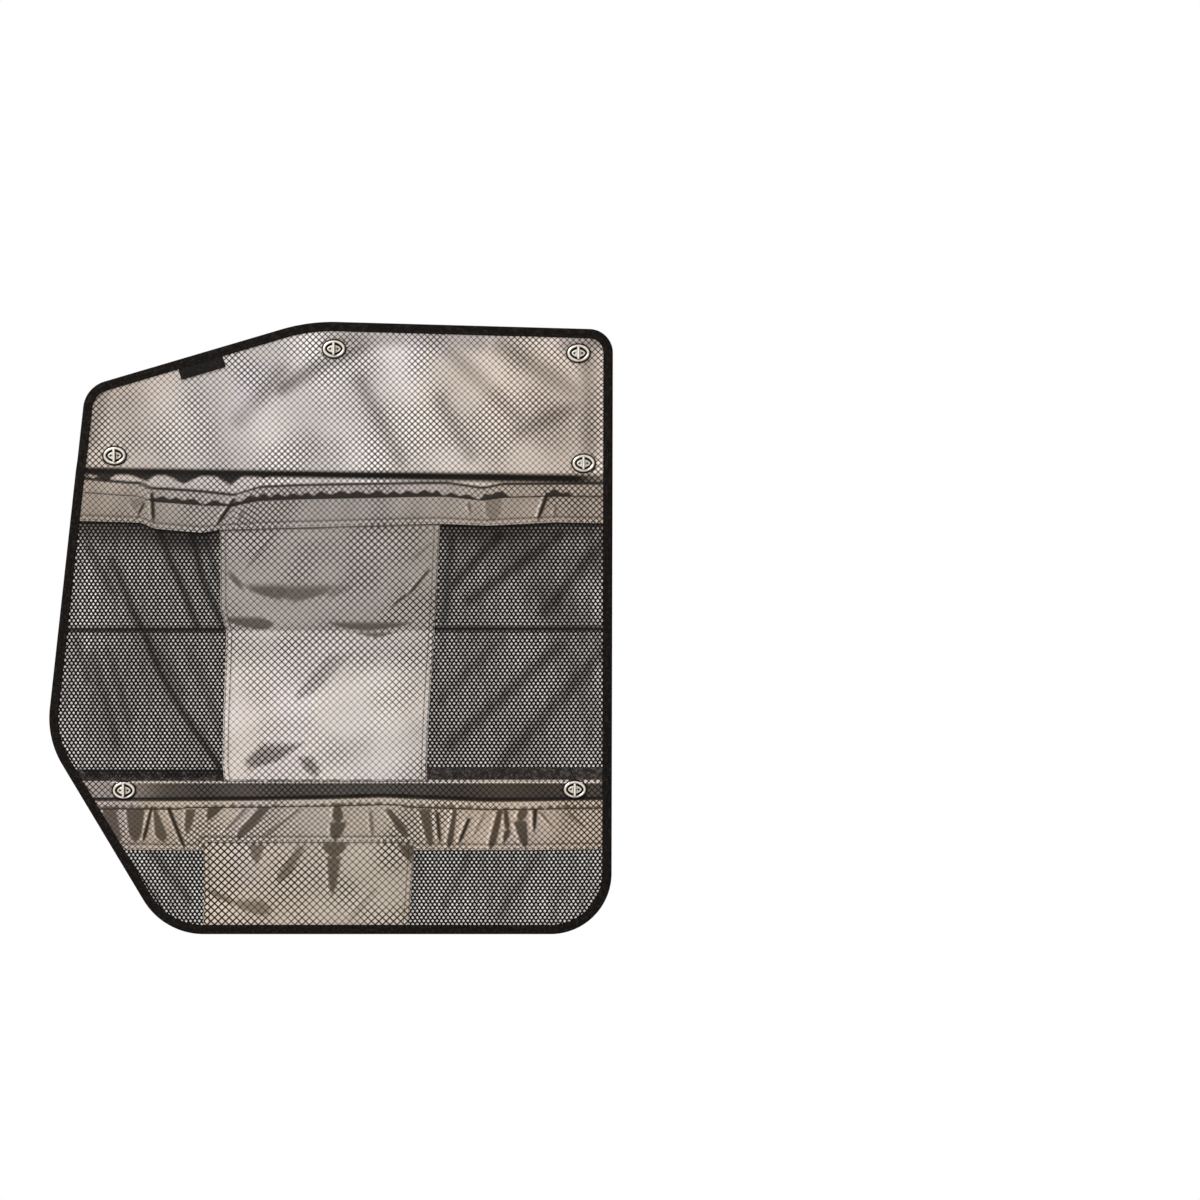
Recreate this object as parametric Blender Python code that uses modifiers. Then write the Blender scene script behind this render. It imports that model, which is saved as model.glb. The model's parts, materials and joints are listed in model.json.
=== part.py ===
"""Van door storage pouch: a bound cloth panel with two gathered pockets and six turn buttons.

Metres, +Z up. The pouch stands upright, as it hangs on the door, and its front faces -Y.
Every piece is modelled in the panel's own frame, X across, Y up and Z out towards the viewer,
with Z = 0 on the panel's front face. One empty then stands that frame upright.
The origin of the whole is the middle of the pouch's box.
"""

from math import atan2, ceil, cos, floor, hypot, pi, radians, sin, tan

import bmesh
import bpy

# Whole pouch
POUCH_WIDTH = 0.563
POUCH_HEIGHT = 0.612
SEAM_GAP = 0.0003
LAYER_GAP = 0.0004

# Outline, from the edges of the pouch's box
SIDE_TOP_INSET = 0.0352
SHOULDER_DROP = 0.0650
SHOULDER_RUN = 0.2239
TOP_FALL = 0.0085
RIGHT_LEAN = 0.0015
CORNER_RUN = 0.1140
CORNER_RISE = 0.1957
CORNER_PULL = 0.0033
PEAK_PULL = 0.0010
SHOULDER_ROUND = 0.030
PEAK_ROUND = 0.180
TOP_RIGHT_ROUND = 0.024
BOTTOM_RIGHT_ROUND = 0.061
CORNER_LOW_ROUND = 0.070
CORNER_HIGH_ROUND = 0.090
ARC_STEP = radians(14)

# Cloth and tape
PANEL_THICKNESS = 0.0016
CLOTH = 0.0006
TAPE = 0.0008
BINDING_WIDTH = 0.0094
BINDING_STEP = 0.014

# Folds that the pouch keeps from being packed in quarters
FOLD_ABOVE_MOUTH = 0.0117
FOLD_TILT = 0.0163
FOLD_DEPTH = 0.0015
FOLD_FACE = 0.0044
FOLD_REACH = 0.0140
MIDDLE_FOLD_PLACE = 0.4959
MIDDLE_FOLD_SHARE = 0.2

# Pockets: the places of their mouths, in shares of the pouch's height from its bottom, and their sizes
UPPER_MOUTH_PLACE = 0.7320
LOWER_MOUTH_PLACE = 0.2206
POCKET_SPACING = 0.0170
POCKET_RISE = 0.090
UPPER_DEPTH = 0.0100
UPPER_BASE_RISE = 0.070
UPPER_BAND = 0.0410
LOWER_DEPTH = 0.0085
LOWER_BAND = 0.0500
CASING = 0.0150
ELASTIC_WIDTH = 0.0090
ELASTIC_THICKNESS = 0.0005
BAND_TUCK = 0.0060
SIDE_TUCK = 0.0060
HEM_HEIGHT = 0.0110
HEM_ABOVE_BASE = 0.0015

# Middle panels: the places of their side seams
UPPER_SEAM_LEFT = -0.1085
UPPER_SEAM_RIGHT = 0.1080
UPPER_SEAM_TAPER = 0.0120
LOWER_SEAM_LEFT = -0.1268
LOWER_SEAM_RIGHT = 0.0815
LOWER_SEAM_TAPER = 0.0050

# Net: gaps and the strands between them
NET_GAP_WIDTH = 0.0190
NET_GAP_HEIGHT = 0.0230
NET_STRAND = 0.0100
NET_SKEW = 0.0065
NET_MARGIN = 0.0060
NET_BELOW_BAND = 0.0025

# Gathers of the two bands: (share of the half width at the top, at the hem, height, rise, fall)
COLUMN_SPACING = 0.0240
PANEL_COLUMN_SPACING = 0.1900
MIN_COLUMN = 0.0020
STITCH_PINCH = 0.0004
MIDDLE_COLUMNS = 8
UPPER_PLEATS = (
    (-0.645, -0.636, 0.0028, 0.024, 0.003),
    (-0.336, -0.417, 0.0030, 0.012, 0.003),
    (0.549, 0.547, 0.0024, 0.003, 0.018),
    (0.758, 0.719, 0.0030, 0.012, 0.003),
    (0.801, 0.794, 0.0016, 0.006, 0.004),
)
LOWER_PLEATS = (
    (-0.778, -0.792, 0.0016, 0.005, 0.006),
    (-0.691, -0.702, 0.0030, 0.006, 0.006),
    (-0.645, -0.648, 0.0026, 0.005, 0.004),
    (-0.597, -0.611, 0.0030, 0.006, 0.005),
    (-0.533, -0.565, 0.0030, 0.006, 0.005),
    (-0.487, -0.494, 0.0026, 0.004, 0.006),
    (-0.227, -0.334, 0.0028, 0.014, 0.004),
    (0.025, 0.025, 0.0030, 0.008, 0.008),
    (0.142, 0.142, 0.0024, 0.007, 0.005),
    (0.202, 0.281, 0.0028, 0.006, 0.006),
    (0.341, 0.327, 0.0030, 0.006, 0.005),
    (0.384, 0.369, 0.0026, 0.005, 0.005),
    (0.430, 0.416, 0.0030, 0.006, 0.005),
    (0.472, 0.458, 0.0026, 0.005, 0.006),
    (0.583, 0.568, 0.0028, 0.006, 0.005),
    (0.625, 0.611, 0.0030, 0.005, 0.005),
    (0.671, 0.657, 0.0028, 0.006, 0.005),
    (0.721, 0.707, 0.0028, 0.006, 0.006),
    (0.867, 0.853, 0.0014, 0.005, 0.005),
)
PLEAT_AT_HEM = 0.45

# Lines of the two bands' edges, as (share of the half width, offset from the straight line)
UPPER_MOUTH_LINE = (
    (-0.88, 0.0070), (-0.68, 0.0020), (-0.64, -0.0030), (-0.47, -0.0060), (-0.34, -0.0090),
    (-0.25, -0.0020), (0.31, 0.0020), (0.42, 0.0020), (0.54, -0.0030), (0.61, 0.0010), (1.0, 0.0010),
)
UPPER_HEM_LINE = (
    (-0.89, 0.0050), (-0.67, 0.0040), (-0.62, -0.0020), (-0.45, -0.0060), (-0.39, -0.0030),
    (0.0, 0.0000), (0.38, 0.0030), (0.55, 0.0010), (0.80, 0.0040), (1.0, 0.0030),
)
LOWER_MOUTH_LINE = (
    (-0.85, -0.0010), (-0.30, 0.0000), (0.0, 0.0015), (0.18, 0.0030), (0.55, -0.0010), (1.0, 0.0000),
)
LOWER_HEM_LINE = (
    (-0.80, -0.0005), (-0.45, -0.0005), (-0.42, 0.0080), (0.27, 0.0080), (0.30, 0.0000), (1.0, 0.0000),
)

# Soft folds of the pocket walls: (start, end, half width, height), in shares of the half width
UPPER_FOLDS = (
    ((-0.705, 0.060), (-0.552, -0.260), 0.016, 0.0022),
    ((-0.552, -0.260), (-0.390, -0.520), 0.016, 0.0022),
    ((-0.595, 0.312), (-0.481, 0.046), 0.015, 0.0016),
    ((-0.353, 0.178), (-0.005, 0.107), 0.018, 0.0018),
    ((0.350, 0.241), (0.208, 0.064), 0.015, 0.0018),
    ((0.780, 0.300), (0.480, -0.100), 0.018, 0.0020),
    ((0.860, 0.100), (0.560, -0.350), 0.018, 0.0018),
)
LOWER_FOLDS = (
    ((-0.640, -0.800), (-0.520, -0.960), 0.014, 0.0014),
    ((0.620, -0.800), (0.420, -0.980), 0.016, 0.0014),
    ((-0.200, -0.800), (0.000, -0.950), 0.018, 0.0012),
)

# Label tab, sewn below the shoulder's binding and left bare
LABEL_LENGTH = 0.0460
LABEL_HEIGHT = 0.0110
LABEL_THICKNESS = 0.0006
LABEL_ALONG = 0.1210

# Turn buttons: the eyelet, the plate behind it, the stud's base and the head that turns on it
OVAL_STEPS = 14
ROUND_STEPS = 8
SHARP_ANGLE = radians(40)
EYELET_LENGTH = 0.0225
EYELET_HEIGHT = 0.0176
EYELET_BORDER = 0.0032
EYELET_FLANGE = 0.0016
EYELET_BEVEL = 0.0010
EYELET_COLLAR = 0.0006
CLINCH_WIDTH = 0.0016
CLINCH_THICKNESS = 0.0006
PLATE_THICKNESS = 0.0008
STUD_CLEARANCE = 0.0013
STUD_RECESS = 0.0008
WALL_STANDOFF = 0.0004
SCREW_SPACING = 0.0088
SCREW_HOLE_RADIUS = 0.0011
SPINDLE_RADIUS = 0.0011
SPINDLE_CLEARANCE = 0.0003
RIVET_RADIUS = 0.0019
RIVET_THICKNESS = 0.0008
SPRING_THICKNESS = 0.0004
HEAD_LENGTH = 0.0134
HEAD_WIDTH = 0.0026
HEAD_HEIGHT = 0.0032
HEAD_ROUND = 0.0007
HUB_RADIUS = 0.0020

# Places of the turn buttons, from the edges and rows that each one keeps to
TOP_BUTTON_FROM_TOP = 0.0270
TOP_MIDDLE_BUTTON_X = 0.0025
TOP_RIGHT_BUTTON_INSET = 0.0345
SIDE_BUTTON_ABOVE_FOLD = 0.0150
RIGHT_BUTTON_INSET = 0.0290
LEFT_BUTTON_INSET = 0.0390
LOW_LEFT_BUTTON_INSET = 0.0460
LOW_RIGHT_BUTTON_INSET = 0.0370
LOW_RIGHT_BUTTON_RISE = 0.0010

HALF_WIDTH = POUCH_WIDTH / 2
HALF_HEIGHT = POUCH_HEIGHT / 2
UPPER_MOUTH = UPPER_MOUTH_PLACE * POUCH_HEIGHT - HALF_HEIGHT
LOWER_MOUTH = LOWER_MOUTH_PLACE * POUCH_HEIGHT - HALF_HEIGHT
UPPER_BASE = LOWER_MOUTH + POCKET_SPACING
FOLD_HEIGHT = UPPER_MOUTH + FOLD_ABOVE_MOUTH
MIDDLE_FOLD_HEIGHT = MIDDLE_FOLD_PLACE * POUCH_HEIGHT - HALF_HEIGHT

# Depth of the layers, out from the panel's front face
SEAM_LAYER = CLOTH + LAYER_GAP
BAND_BACK = 2 * SEAM_LAYER
BAND_FRONT = BAND_BACK + CLOTH
SLOT_TIGHT = SEAM_GAP
SLOT_OPEN = SEAM_GAP + SEAM_LAYER + CLOTH + SEAM_GAP
SLOT_BACK = -PANEL_THICKNESS - SEAM_GAP
CLINCH_BACK = SLOT_BACK - PLATE_THICKNESS - SEAM_GAP - CLINCH_THICKNESS
WALL_FACE = CLINCH_BACK - WALL_STANDOFF
PLEAT_HEIGHT = max(pleat[2] for pleat in LOWER_PLEATS)
FRONT_REACH = SEAM_GAP + UPPER_DEPTH + BAND_FRONT + PLEAT_HEIGHT
PANEL_PLANE = (FRONT_REACH + WALL_FACE) / 2


def clear_scene():
    """Remove what the file starts with."""
    for thing in list(bpy.data.objects):
        bpy.data.objects.remove(thing, do_unlink=True)


def smooth(value):
    """Rise from 0 to 1 with level ends."""
    value = min(1.0, max(0.0, value))
    return value * value * (3 - 2 * value)


def mix(start, end, share):
    return start + (end - start) * share


clear_scene()
parts = bpy.data.collections.new("van_door_storage_pouch")
cutters = bpy.data.collections.new("cutters")
bpy.context.scene.collection.children.link(parts)
bpy.context.scene.collection.children.link(cutters)
upright = bpy.data.objects.new("pouch_frame", None)
upright.rotation_euler = (pi / 2, 0, 0)
upright.location = (0, PANEL_PLANE, 0)
parts.objects.link(upright)


def finish(name, colour, roughness, metallic=0.0):
    """A plain material for one piece."""
    material = bpy.data.materials.new(name)
    material.use_nodes = True
    shader = material.node_tree.nodes["Principled BSDF"]
    shader.inputs["Base Color"].default_value = (*colour, 1)
    shader.inputs["Roughness"].default_value = roughness
    shader.inputs["Metallic"].default_value = metallic
    return material


def silver_cloth(name):
    return finish(name, (0.47, 0.44, 0.41), 0.45, 0.3)


def black_cloth(name):
    return finish(name, (0.016, 0.014, 0.013), 0.8)


def black_net(name):
    return finish(name, (0.03, 0.028, 0.027), 0.7)


def nickel(name):
    return finish(name, (0.62, 0.58, 0.52), 0.28, 1.0)


def add_object(name, mesh):
    """Put a mesh in the upright frame as an object of its own."""
    thing = bpy.data.objects.new(name, mesh)
    thing.parent = upright
    parts.objects.link(thing)
    return thing


def as_cutter(thing):
    """Keep a guide shape out of the model."""
    parts.objects.unlink(thing)
    cutters.objects.link(thing)
    thing.hide_render = True
    thing.display_type = 'WIRE'
    return thing


def boolean(thing, cutter, operation):
    modifier = thing.modifiers.new(operation.lower(), 'BOOLEAN')
    modifier.operation = operation
    modifier.solver = 'EXACT'
    modifier.object = cutter


def to_mesh(name, bm):
    """Turn a bmesh into a mesh whose faces point out."""
    bmesh.ops.recalc_face_normals(bm, faces=bm.faces)
    mesh = bpy.data.meshes.new(name)
    bm.to_mesh(mesh)
    bm.free()
    return mesh


def plate(name, points, back, front):
    """A flat outline with a thickness, as a mesh: a filled curve, extruded and welded."""
    curve = bpy.data.curves.new(name, 'CURVE')
    curve.dimensions = '2D'
    curve.fill_mode = 'BOTH'
    curve.extrude = (front - back) / 2
    spline = curve.splines.new('POLY')
    spline.points.add(len(points) - 1)
    for spot, (x, y) in zip(spline.points, points):
        spot.co = (x, y, 0, 1)
    spline.use_cyclic_u = True
    guide = bpy.data.objects.new(name, curve)
    parts.objects.link(guide)
    bpy.context.view_layer.update()
    graph = bpy.context.evaluated_depsgraph_get()
    flat = bpy.data.meshes.new_from_object(guide.evaluated_get(graph))
    bpy.data.objects.remove(guide)
    bm = bmesh.new()
    bm.from_mesh(flat)
    bmesh.ops.remove_doubles(bm, verts=bm.verts, dist=1e-6)
    bmesh.ops.translate(bm, verts=bm.verts, vec=(0, 0, (front + back) / 2))
    bpy.data.meshes.remove(flat)
    return add_object(name, to_mesh(name, bm))


def loft(name, sections, closed):
    """Skin a row of like sections. A closed row runs round a ring, an open one gets its ends filled."""
    bm = bmesh.new()
    rings = [[bm.verts.new(point) for point in section] for section in sections]
    count = len(rings[0])
    pairs = list(zip(rings, rings[1:]))
    if closed:
        pairs.append((rings[-1], rings[0]))
    for near, far in pairs:
        for k in range(count):
            following = (k + 1) % count
            bm.faces.new((near[k], near[following], far[following], far[k]))
    if not closed:
        bm.faces.new(rings[0])
        bm.faces.new(reversed(rings[-1]))
    return to_mesh(name, bm)


# Outline

def outline_corners():
    """The sharp corners of the pouch, anticlockwise from the shoulder, each with its round."""
    side_top = -HALF_WIDTH + SIDE_TOP_INSET
    peak = HALF_HEIGHT + PEAK_PULL
    return (
        (side_top, HALF_HEIGHT - SHOULDER_DROP, SHOULDER_ROUND),
        (-HALF_WIDTH - CORNER_PULL, -HALF_HEIGHT + CORNER_RISE, CORNER_HIGH_ROUND),
        (-HALF_WIDTH + CORNER_RUN, -HALF_HEIGHT, CORNER_LOW_ROUND),
        (HALF_WIDTH - RIGHT_LEAN, -HALF_HEIGHT, BOTTOM_RIGHT_ROUND),
        (HALF_WIDTH, peak - TOP_FALL, TOP_RIGHT_ROUND),
        (side_top + SHOULDER_RUN, peak, PEAK_ROUND),
    )


def arc_points(before, corner, after, inset):
    """The round at one corner, moved in by inset."""
    x, y, radius = corner
    arriving = atan2(y - before[1], x - before[0])
    leaving = atan2(after[1] - y, after[0] - x)
    turn = (leaving - arriving) % (2 * pi)
    back = radius * tan(turn / 2)
    centre_x = x - cos(arriving) * back - sin(arriving) * radius
    centre_y = y - sin(arriving) * back + cos(arriving) * radius
    steps = max(2, ceil(turn / ARC_STEP))
    angles = [arriving - pi / 2 + turn * k / steps for k in range(steps + 1)]
    reach = radius - inset
    return [(centre_x + reach * cos(a), centre_y + reach * sin(a)) for a in angles]


def side_points(low, high, heights, inset):
    """Points on a straight side at given heights, moved in by inset, in the order of travel."""
    length = hypot(high[0] - low[0], high[1] - low[1])
    across = ((high[0] - low[0]) / length, (high[1] - low[1]) / length)
    points = []
    for height in heights:
        along = (height - low[1]) / across[1]
        points.append((low[0] + across[0] * along - across[1] * inset, height + across[0] * inset))
    return points


def outline(inset):
    """The pouch's edge moved in by inset, with stations where the binding changes depth."""
    corners = outline_corners()
    mouth = UPPER_MOUTH + BINDING_STEP
    change = (mouth + BINDING_STEP, mouth)
    points = []
    for k, corner in enumerate(corners):
        following = corners[(k + 1) % len(corners)]
        points += arc_points(corners[k - 1], corner, following, inset)
        if k == 0:
            points += side_points(corner, following, change, inset)
        if k == 3:
            points += side_points(corner, following, change[::-1], inset)
    return points


EDGE = outline(0)


def edge_distance(x, y):
    """How far a point lies inside the pouch's edge."""
    distances = []
    for start, end in zip(EDGE, EDGE[1:] + EDGE[:1]):
        run = (end[0] - start[0], end[1] - start[1])
        cross = run[0] * (y - start[1]) - run[1] * (x - start[0])
        distances.append(cross / hypot(*run))
    return min(distances)


def crossings(y, inset):
    """Where the outline, moved in by inset, crosses a height: its left and its right."""
    points = outline(inset)
    found = []
    for start, end in zip(points, points[1:] + points[:1]):
        if (start[1] - y) * (end[1] - y) <= 0 and start[1] != end[1]:
            found.append(mix(start[0], end[0], (y - start[1]) / (end[1] - start[1])))
    return min(found), max(found)


# Binding, panel and label

def binding_section(height):
    """The tape's U, folded round the edge, as (inset, depth). It is deeper where it holds the pockets."""
    share = smooth((UPPER_MOUTH + 2 * BINDING_STEP - height) / BINDING_STEP)
    front = mix(SLOT_TIGHT, SLOT_OPEN, share)
    back = SLOT_BACK
    return (
        (0, front), (TAPE, front + TAPE), (BINDING_WIDTH, front + TAPE), (BINDING_WIDTH, front),
        (TAPE, front), (TAPE, back), (BINDING_WIDTH, back), (BINDING_WIDTH, back - TAPE),
        (TAPE, back - TAPE), (0, back),
    )


def make_binding():
    paths = {inset: outline(inset) for inset in (0, TAPE, BINDING_WIDTH)}
    sections = []
    for k, edge_point in enumerate(EDGE):
        section = binding_section(edge_point[1])
        sections.append([(*paths[inset][k], depth) for inset, depth in section])
    binding = add_object("edge_binding", loft("edge_binding", sections, True))
    binding.data.materials.append(black_cloth("edge_binding"))


def fold_line(x):
    return FOLD_HEIGHT - FOLD_TILT * x


def panel_depth(x, y):
    """The panel's front face: level, but for a groove that is steep above and long below."""
    above = y - fold_line(x)
    falling = (FOLD_FACE / 2 - above) / FOLD_FACE
    rising = (above + FOLD_REACH) / (FOLD_REACH - FOLD_FACE / 2)
    fade = (edge_distance(x, y) - BINDING_WIDTH) / FOLD_FACE
    return -FOLD_DEPTH * max(0, min(falling, rising)) * min(1, max(0, fade))


def sheet(name, columns, rows, place, thickness, is_gap=None):
    """A wall of cloth: a grid whose crossings place sets, given its thickness towards the back."""
    across, up = len(columns) - 1, len(rows) - 1
    bm = bmesh.new()
    bmesh.ops.create_grid(bm, x_segments=across, y_segments=up, size=0.5)
    if is_gap:
        gaps = []
        for face in bm.faces:
            centre = face.calc_center_median()
            if is_gap(floor((centre.x + 0.5) * across), floor((centre.y + 0.5) * up)):
                gaps.append(face)
        bmesh.ops.delete(bm, geom=gaps, context='FACES')
    for spot in bm.verts:
        column = columns[round((spot.co.x + 0.5) * across)]
        row = rows[round((spot.co.y + 0.5) * up)]
        spot.co = place(column, row)
    grown = bmesh.ops.extrude_face_region(bm, geom=bm.faces[:])
    new_spots = [item for item in grown["geom"] if isinstance(item, bmesh.types.BMVert)]
    bmesh.ops.translate(bm, verts=new_spots, vec=(0, 0, -thickness))
    return add_object(name, to_mesh(name, bm))


def spread(start, end, spacing):
    """Evenly spaced stations, no further apart than spacing."""
    count = max(1, ceil((end - start) / spacing))
    return [mix(start, end, k / count) for k in range(count + 1)]


def make_panel(cloth_edge, eyelet_holes):
    beyond_x, beyond_y = HALF_WIDTH + BINDING_WIDTH, HALF_HEIGHT + BINDING_WIDTH
    left, right = crossings(FOLD_HEIGHT, BINDING_WIDTH)
    inner = spread(left + FOLD_FACE, right - FOLD_FACE, PANEL_COLUMN_SPACING)
    columns = [-beyond_x, left] + inner + [right, beyond_x]
    rows = (-beyond_y, -FOLD_REACH, -FOLD_FACE / 2, FOLD_FACE / 2, beyond_y)

    def place(x, row):
        inside = abs(row) < HALF_HEIGHT
        y = fold_line(x) + row if inside else row
        return x, y, panel_depth(x, y)

    panel = sheet("back_panel", columns, rows, place, PANEL_THICKNESS)
    boolean(panel, cloth_edge, 'INTERSECT')
    for hole in eyelet_holes:
        boolean(panel, hole, 'DIFFERENCE')
    panel.data.materials.append(silver_cloth("back_panel"))


def make_label():
    corners = outline_corners()
    shoulder, peak = corners[0], corners[-1]
    slope = atan2(peak[1] - shoulder[1], peak[0] - shoulder[0])
    below = BINDING_WIDTH + SEAM_GAP
    outline_points = (
        (LABEL_ALONG - LABEL_LENGTH / 2, -below - LABEL_HEIGHT),
        (LABEL_ALONG + LABEL_LENGTH / 2, -below - LABEL_HEIGHT),
        (LABEL_ALONG + LABEL_LENGTH / 2, -below),
        (LABEL_ALONG - LABEL_LENGTH / 2, -below),
    )
    label = plate("label_tab", outline_points, SEAM_GAP, SEAM_GAP + LABEL_THICKNESS)
    label.location = (shoulder[0], shoulder[1], 0)
    label.rotation_euler = (0, 0, slope)
    label.data.materials.append(black_cloth("label_tab"))


# Pockets

class Pocket:
    """One pocket's sizes, and the curved surface that its front wall follows."""

    def __init__(self, name, depth, base, net_base, base_rise, mouth, band, mouth_line, hem_line,
                 seams, fold):
        self.name = name
        self.depth = depth
        self.base = base
        self.net_base = net_base
        self.base_rise = base_rise
        self.mouth = mouth
        self.band = band
        self.mouth_line = mouth_line
        self.hem_line = hem_line
        self.seams = seams
        self.fold = fold

    def wall(self, x, y):
        """The back of the net layer: it swells from the seams to the pocket's full depth."""
        side = smooth((edge_distance(x, y) - BINDING_WIDTH - LAYER_GAP) / POCKET_RISE)
        rise = smooth((y - self.base) / self.base_rise)
        crease = 0
        if self.fold is not None:
            crease = MIDDLE_FOLD_SHARE * max(0, 1 - abs(y - self.fold) / (NET_STRAND / 2))
        return SEAM_GAP + self.depth * side * rise * (1 - crease)

    def mouth_at(self, x):
        return self.mouth + along_line(self.mouth_line, x)

    def hem_at(self, x):
        return self.mouth - self.band + along_line(self.hem_line, x)

    def seam_at(self, side, y):
        """A side seam of the middle panel: it leans in towards the pocket's base."""
        at_band, taper = self.seams[side]
        return at_band + taper * (self.mouth - self.band - y) / (self.mouth - self.base)


def along_line(line, x):
    """Read a line of (share of the half width, offset) points at x."""
    share = x / HALF_WIDTH
    for (x0, y0), (x1, y1) in zip(line, line[1:]):
        if x0 <= share <= x1:
            return mix(y0, y1, (share - x0) / (x1 - x0))
    return line[0][1] if share < line[0][0] else line[-1][1]


def ridge(x, y, start, end, width, height):
    """A soft fold that stands along a straight run, told in shares of the half width."""
    ax, ay = start[0] * HALF_WIDTH, start[1] * HALF_WIDTH
    bx, by = end[0] * HALF_WIDTH, end[1] * HALF_WIDTH
    run_x, run_y = bx - ax, by - ay
    along = ((x - ax) * run_x + (y - ay) * run_y) / (run_x ** 2 + run_y ** 2)
    along = min(1, max(0, along))
    away = hypot(x - ax - run_x * along, y - ay - run_y * along)
    return height * smooth(1 - away / width)


def folds_at(folds, x, y):
    return max((ridge(x, y, *fold) for fold in folds), default=0)


def pleat_stations(pleats, left, right):
    """Columns of a band: (x at the top, x at the hem, height) at every crest and valley."""
    stations = [(left[0], left[1], 0)]
    for top_share, hem_share, height, rise, fall in pleats:
        top, hem = top_share * HALF_WIDTH, hem_share * HALF_WIDTH
        last = stations[-1]
        foot = (top - rise, hem - rise, 0)
        if foot[0] < last[0] + MIN_COLUMN or foot[1] < last[1] + MIN_COLUMN:
            if len(stations) > 1:
                stations[-1] = (mix(last[0], foot[0], 0.5), mix(last[1], foot[1], 0.5), 0)
        else:
            stations.append(foot)
        if top > stations[-1][0] + MIN_COLUMN / 2 and hem > stations[-1][1] + MIN_COLUMN / 2:
            stations.append((top, hem, height))
            stations.append((top + fall, hem + fall, 0))
    stations = [s for s in stations if s[0] < right[0] - MIN_COLUMN and s[1] < right[1] - MIN_COLUMN]
    stations.append((right[0], right[1], 0))
    filled = []
    for near, far in zip(stations, stations[1:]):
        steps = max(1, ceil((far[0] - near[0]) / COLUMN_SPACING)) if near[2] == far[2] == 0 else 1
        for k in range(steps):
            filled.append(tuple(mix(a, b, k / steps) for a, b in zip(near, far)))
    filled.append(stations[-1])
    return filled


def band_columns(pocket, pleats):
    """The band's columns, from under one side's binding to the other's, where they are trimmed."""
    top = crossings(pocket.mouth, TAPE)
    hem = crossings(pocket.mouth - pocket.band, TAPE)
    return pleat_stations(pleats, (top[0], hem[0]), (top[1], hem[1]))


def band_section(pocket, column):
    """The hooked section of a band at one column: its front, then the casing folded over behind."""
    x_top, x_hem, height = column
    top, hem = pocket.mouth_at(x_top), pocket.hem_at(x_hem)
    casing = top - CASING

    def point(y, layer):
        share = (y - hem) / (top - hem)
        x = mix(x_hem, x_top, share)
        relief = height * mix(PLEAT_AT_HEM, 1, smooth(share))
        return x, y, pocket.wall(x, y) + relief + layer

    return (
        point(hem, BAND_FRONT), point(casing, BAND_FRONT - STITCH_PINCH),
        point(top - CLOTH, BAND_FRONT), point(top, BAND_FRONT - CLOTH), point(top, CLOTH),
        point(top - CLOTH, 0), point(casing + SEAM_GAP, 0), point(casing + SEAM_GAP, CLOTH),
        point(top - 2 * CLOTH, CLOTH), point(top - 2 * CLOTH, BAND_BACK),
        point(casing, BAND_BACK - STITCH_PINCH), point(hem, BAND_BACK),
    )


def elastic_section(pocket, column):
    """The elastic inside the casing, following the same gathers."""
    x_top, x_hem, height = column
    top, hem = pocket.mouth_at(x_top), pocket.hem_at(x_hem)
    upper = top - 2 * CLOTH - LAYER_GAP
    lower = upper - ELASTIC_WIDTH
    points = []
    for y, layer in ((lower, 0), (lower, 1), (upper, 1), (upper, 0)):
        share = (y - hem) / (top - hem)
        x = mix(x_hem, x_top, share)
        relief = height * mix(PLEAT_AT_HEM, 1, smooth(share))
        depth = CLOTH + LAYER_GAP + ELASTIC_THICKNESS * layer
        points.append((x, y, pocket.wall(x, y) + relief + depth))
    return points


def make_band(pocket, pleats, binding_edge):
    columns = band_columns(pocket, pleats)
    name = pocket.name + "_top_band"
    band = add_object(name, loft(name, [band_section(pocket, c) for c in columns], False))
    boolean(band, binding_edge, 'INTERSECT')
    band.data.materials.append(silver_cloth(name))
    name = pocket.name + "_elastic"
    elastic = add_object(name, loft(name, [elastic_section(pocket, c) for c in columns], False))
    boolean(elastic, binding_edge, 'INTERSECT')
    elastic.data.materials.append(finish(name, (0.05, 0.05, 0.05), 0.8))


def net_rows(low, high, first_shift):
    """Rows of a net between two heights: gaps with strands between them, each gap row shifted."""
    pitch = NET_GAP_HEIGHT + NET_STRAND
    count = max(1, round((high - low + NET_STRAND) / pitch))
    gap = (high - low - (count - 1) * NET_STRAND) / count
    rows = []
    shift = first_shift
    for k in range(count):
        foot = low + k * (gap + NET_STRAND)
        rows += [(foot, shift), (foot + gap, shift)]
        shift = -shift
    return rows


def wall_rows(pocket):
    """A pocket wall's rows of (height, shift) from its base to its band, and the rows that are gaps.

    The last height is None, because the wall ends along the band's own uneven line.
    """
    lowest_hem = min(pocket.hem_at(share * HALF_WIDTH) for share, _ in pocket.hem_line)
    top = lowest_hem - NET_BELOW_BAND
    if pocket.fold is None:
        net = net_rows(pocket.base + BINDING_WIDTH + NET_MARGIN, top, NET_SKEW)
        return [(pocket.base, 0)] + net + [(None, 0)], set(range(1, len(net), 2))
    below = net_rows(pocket.net_base + HEM_HEIGHT, pocket.fold - NET_STRAND / 2, NET_SKEW)
    above = net_rows(pocket.fold + NET_STRAND / 2, top, NET_SKEW)
    first_above = len(below) + 2
    gaps = set(range(1, len(below), 2)) | set(range(first_above, first_above + len(above), 2))
    return [(pocket.base, 0)] + below + [(pocket.fold, 0)] + above + [(None, 0)], gaps


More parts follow.
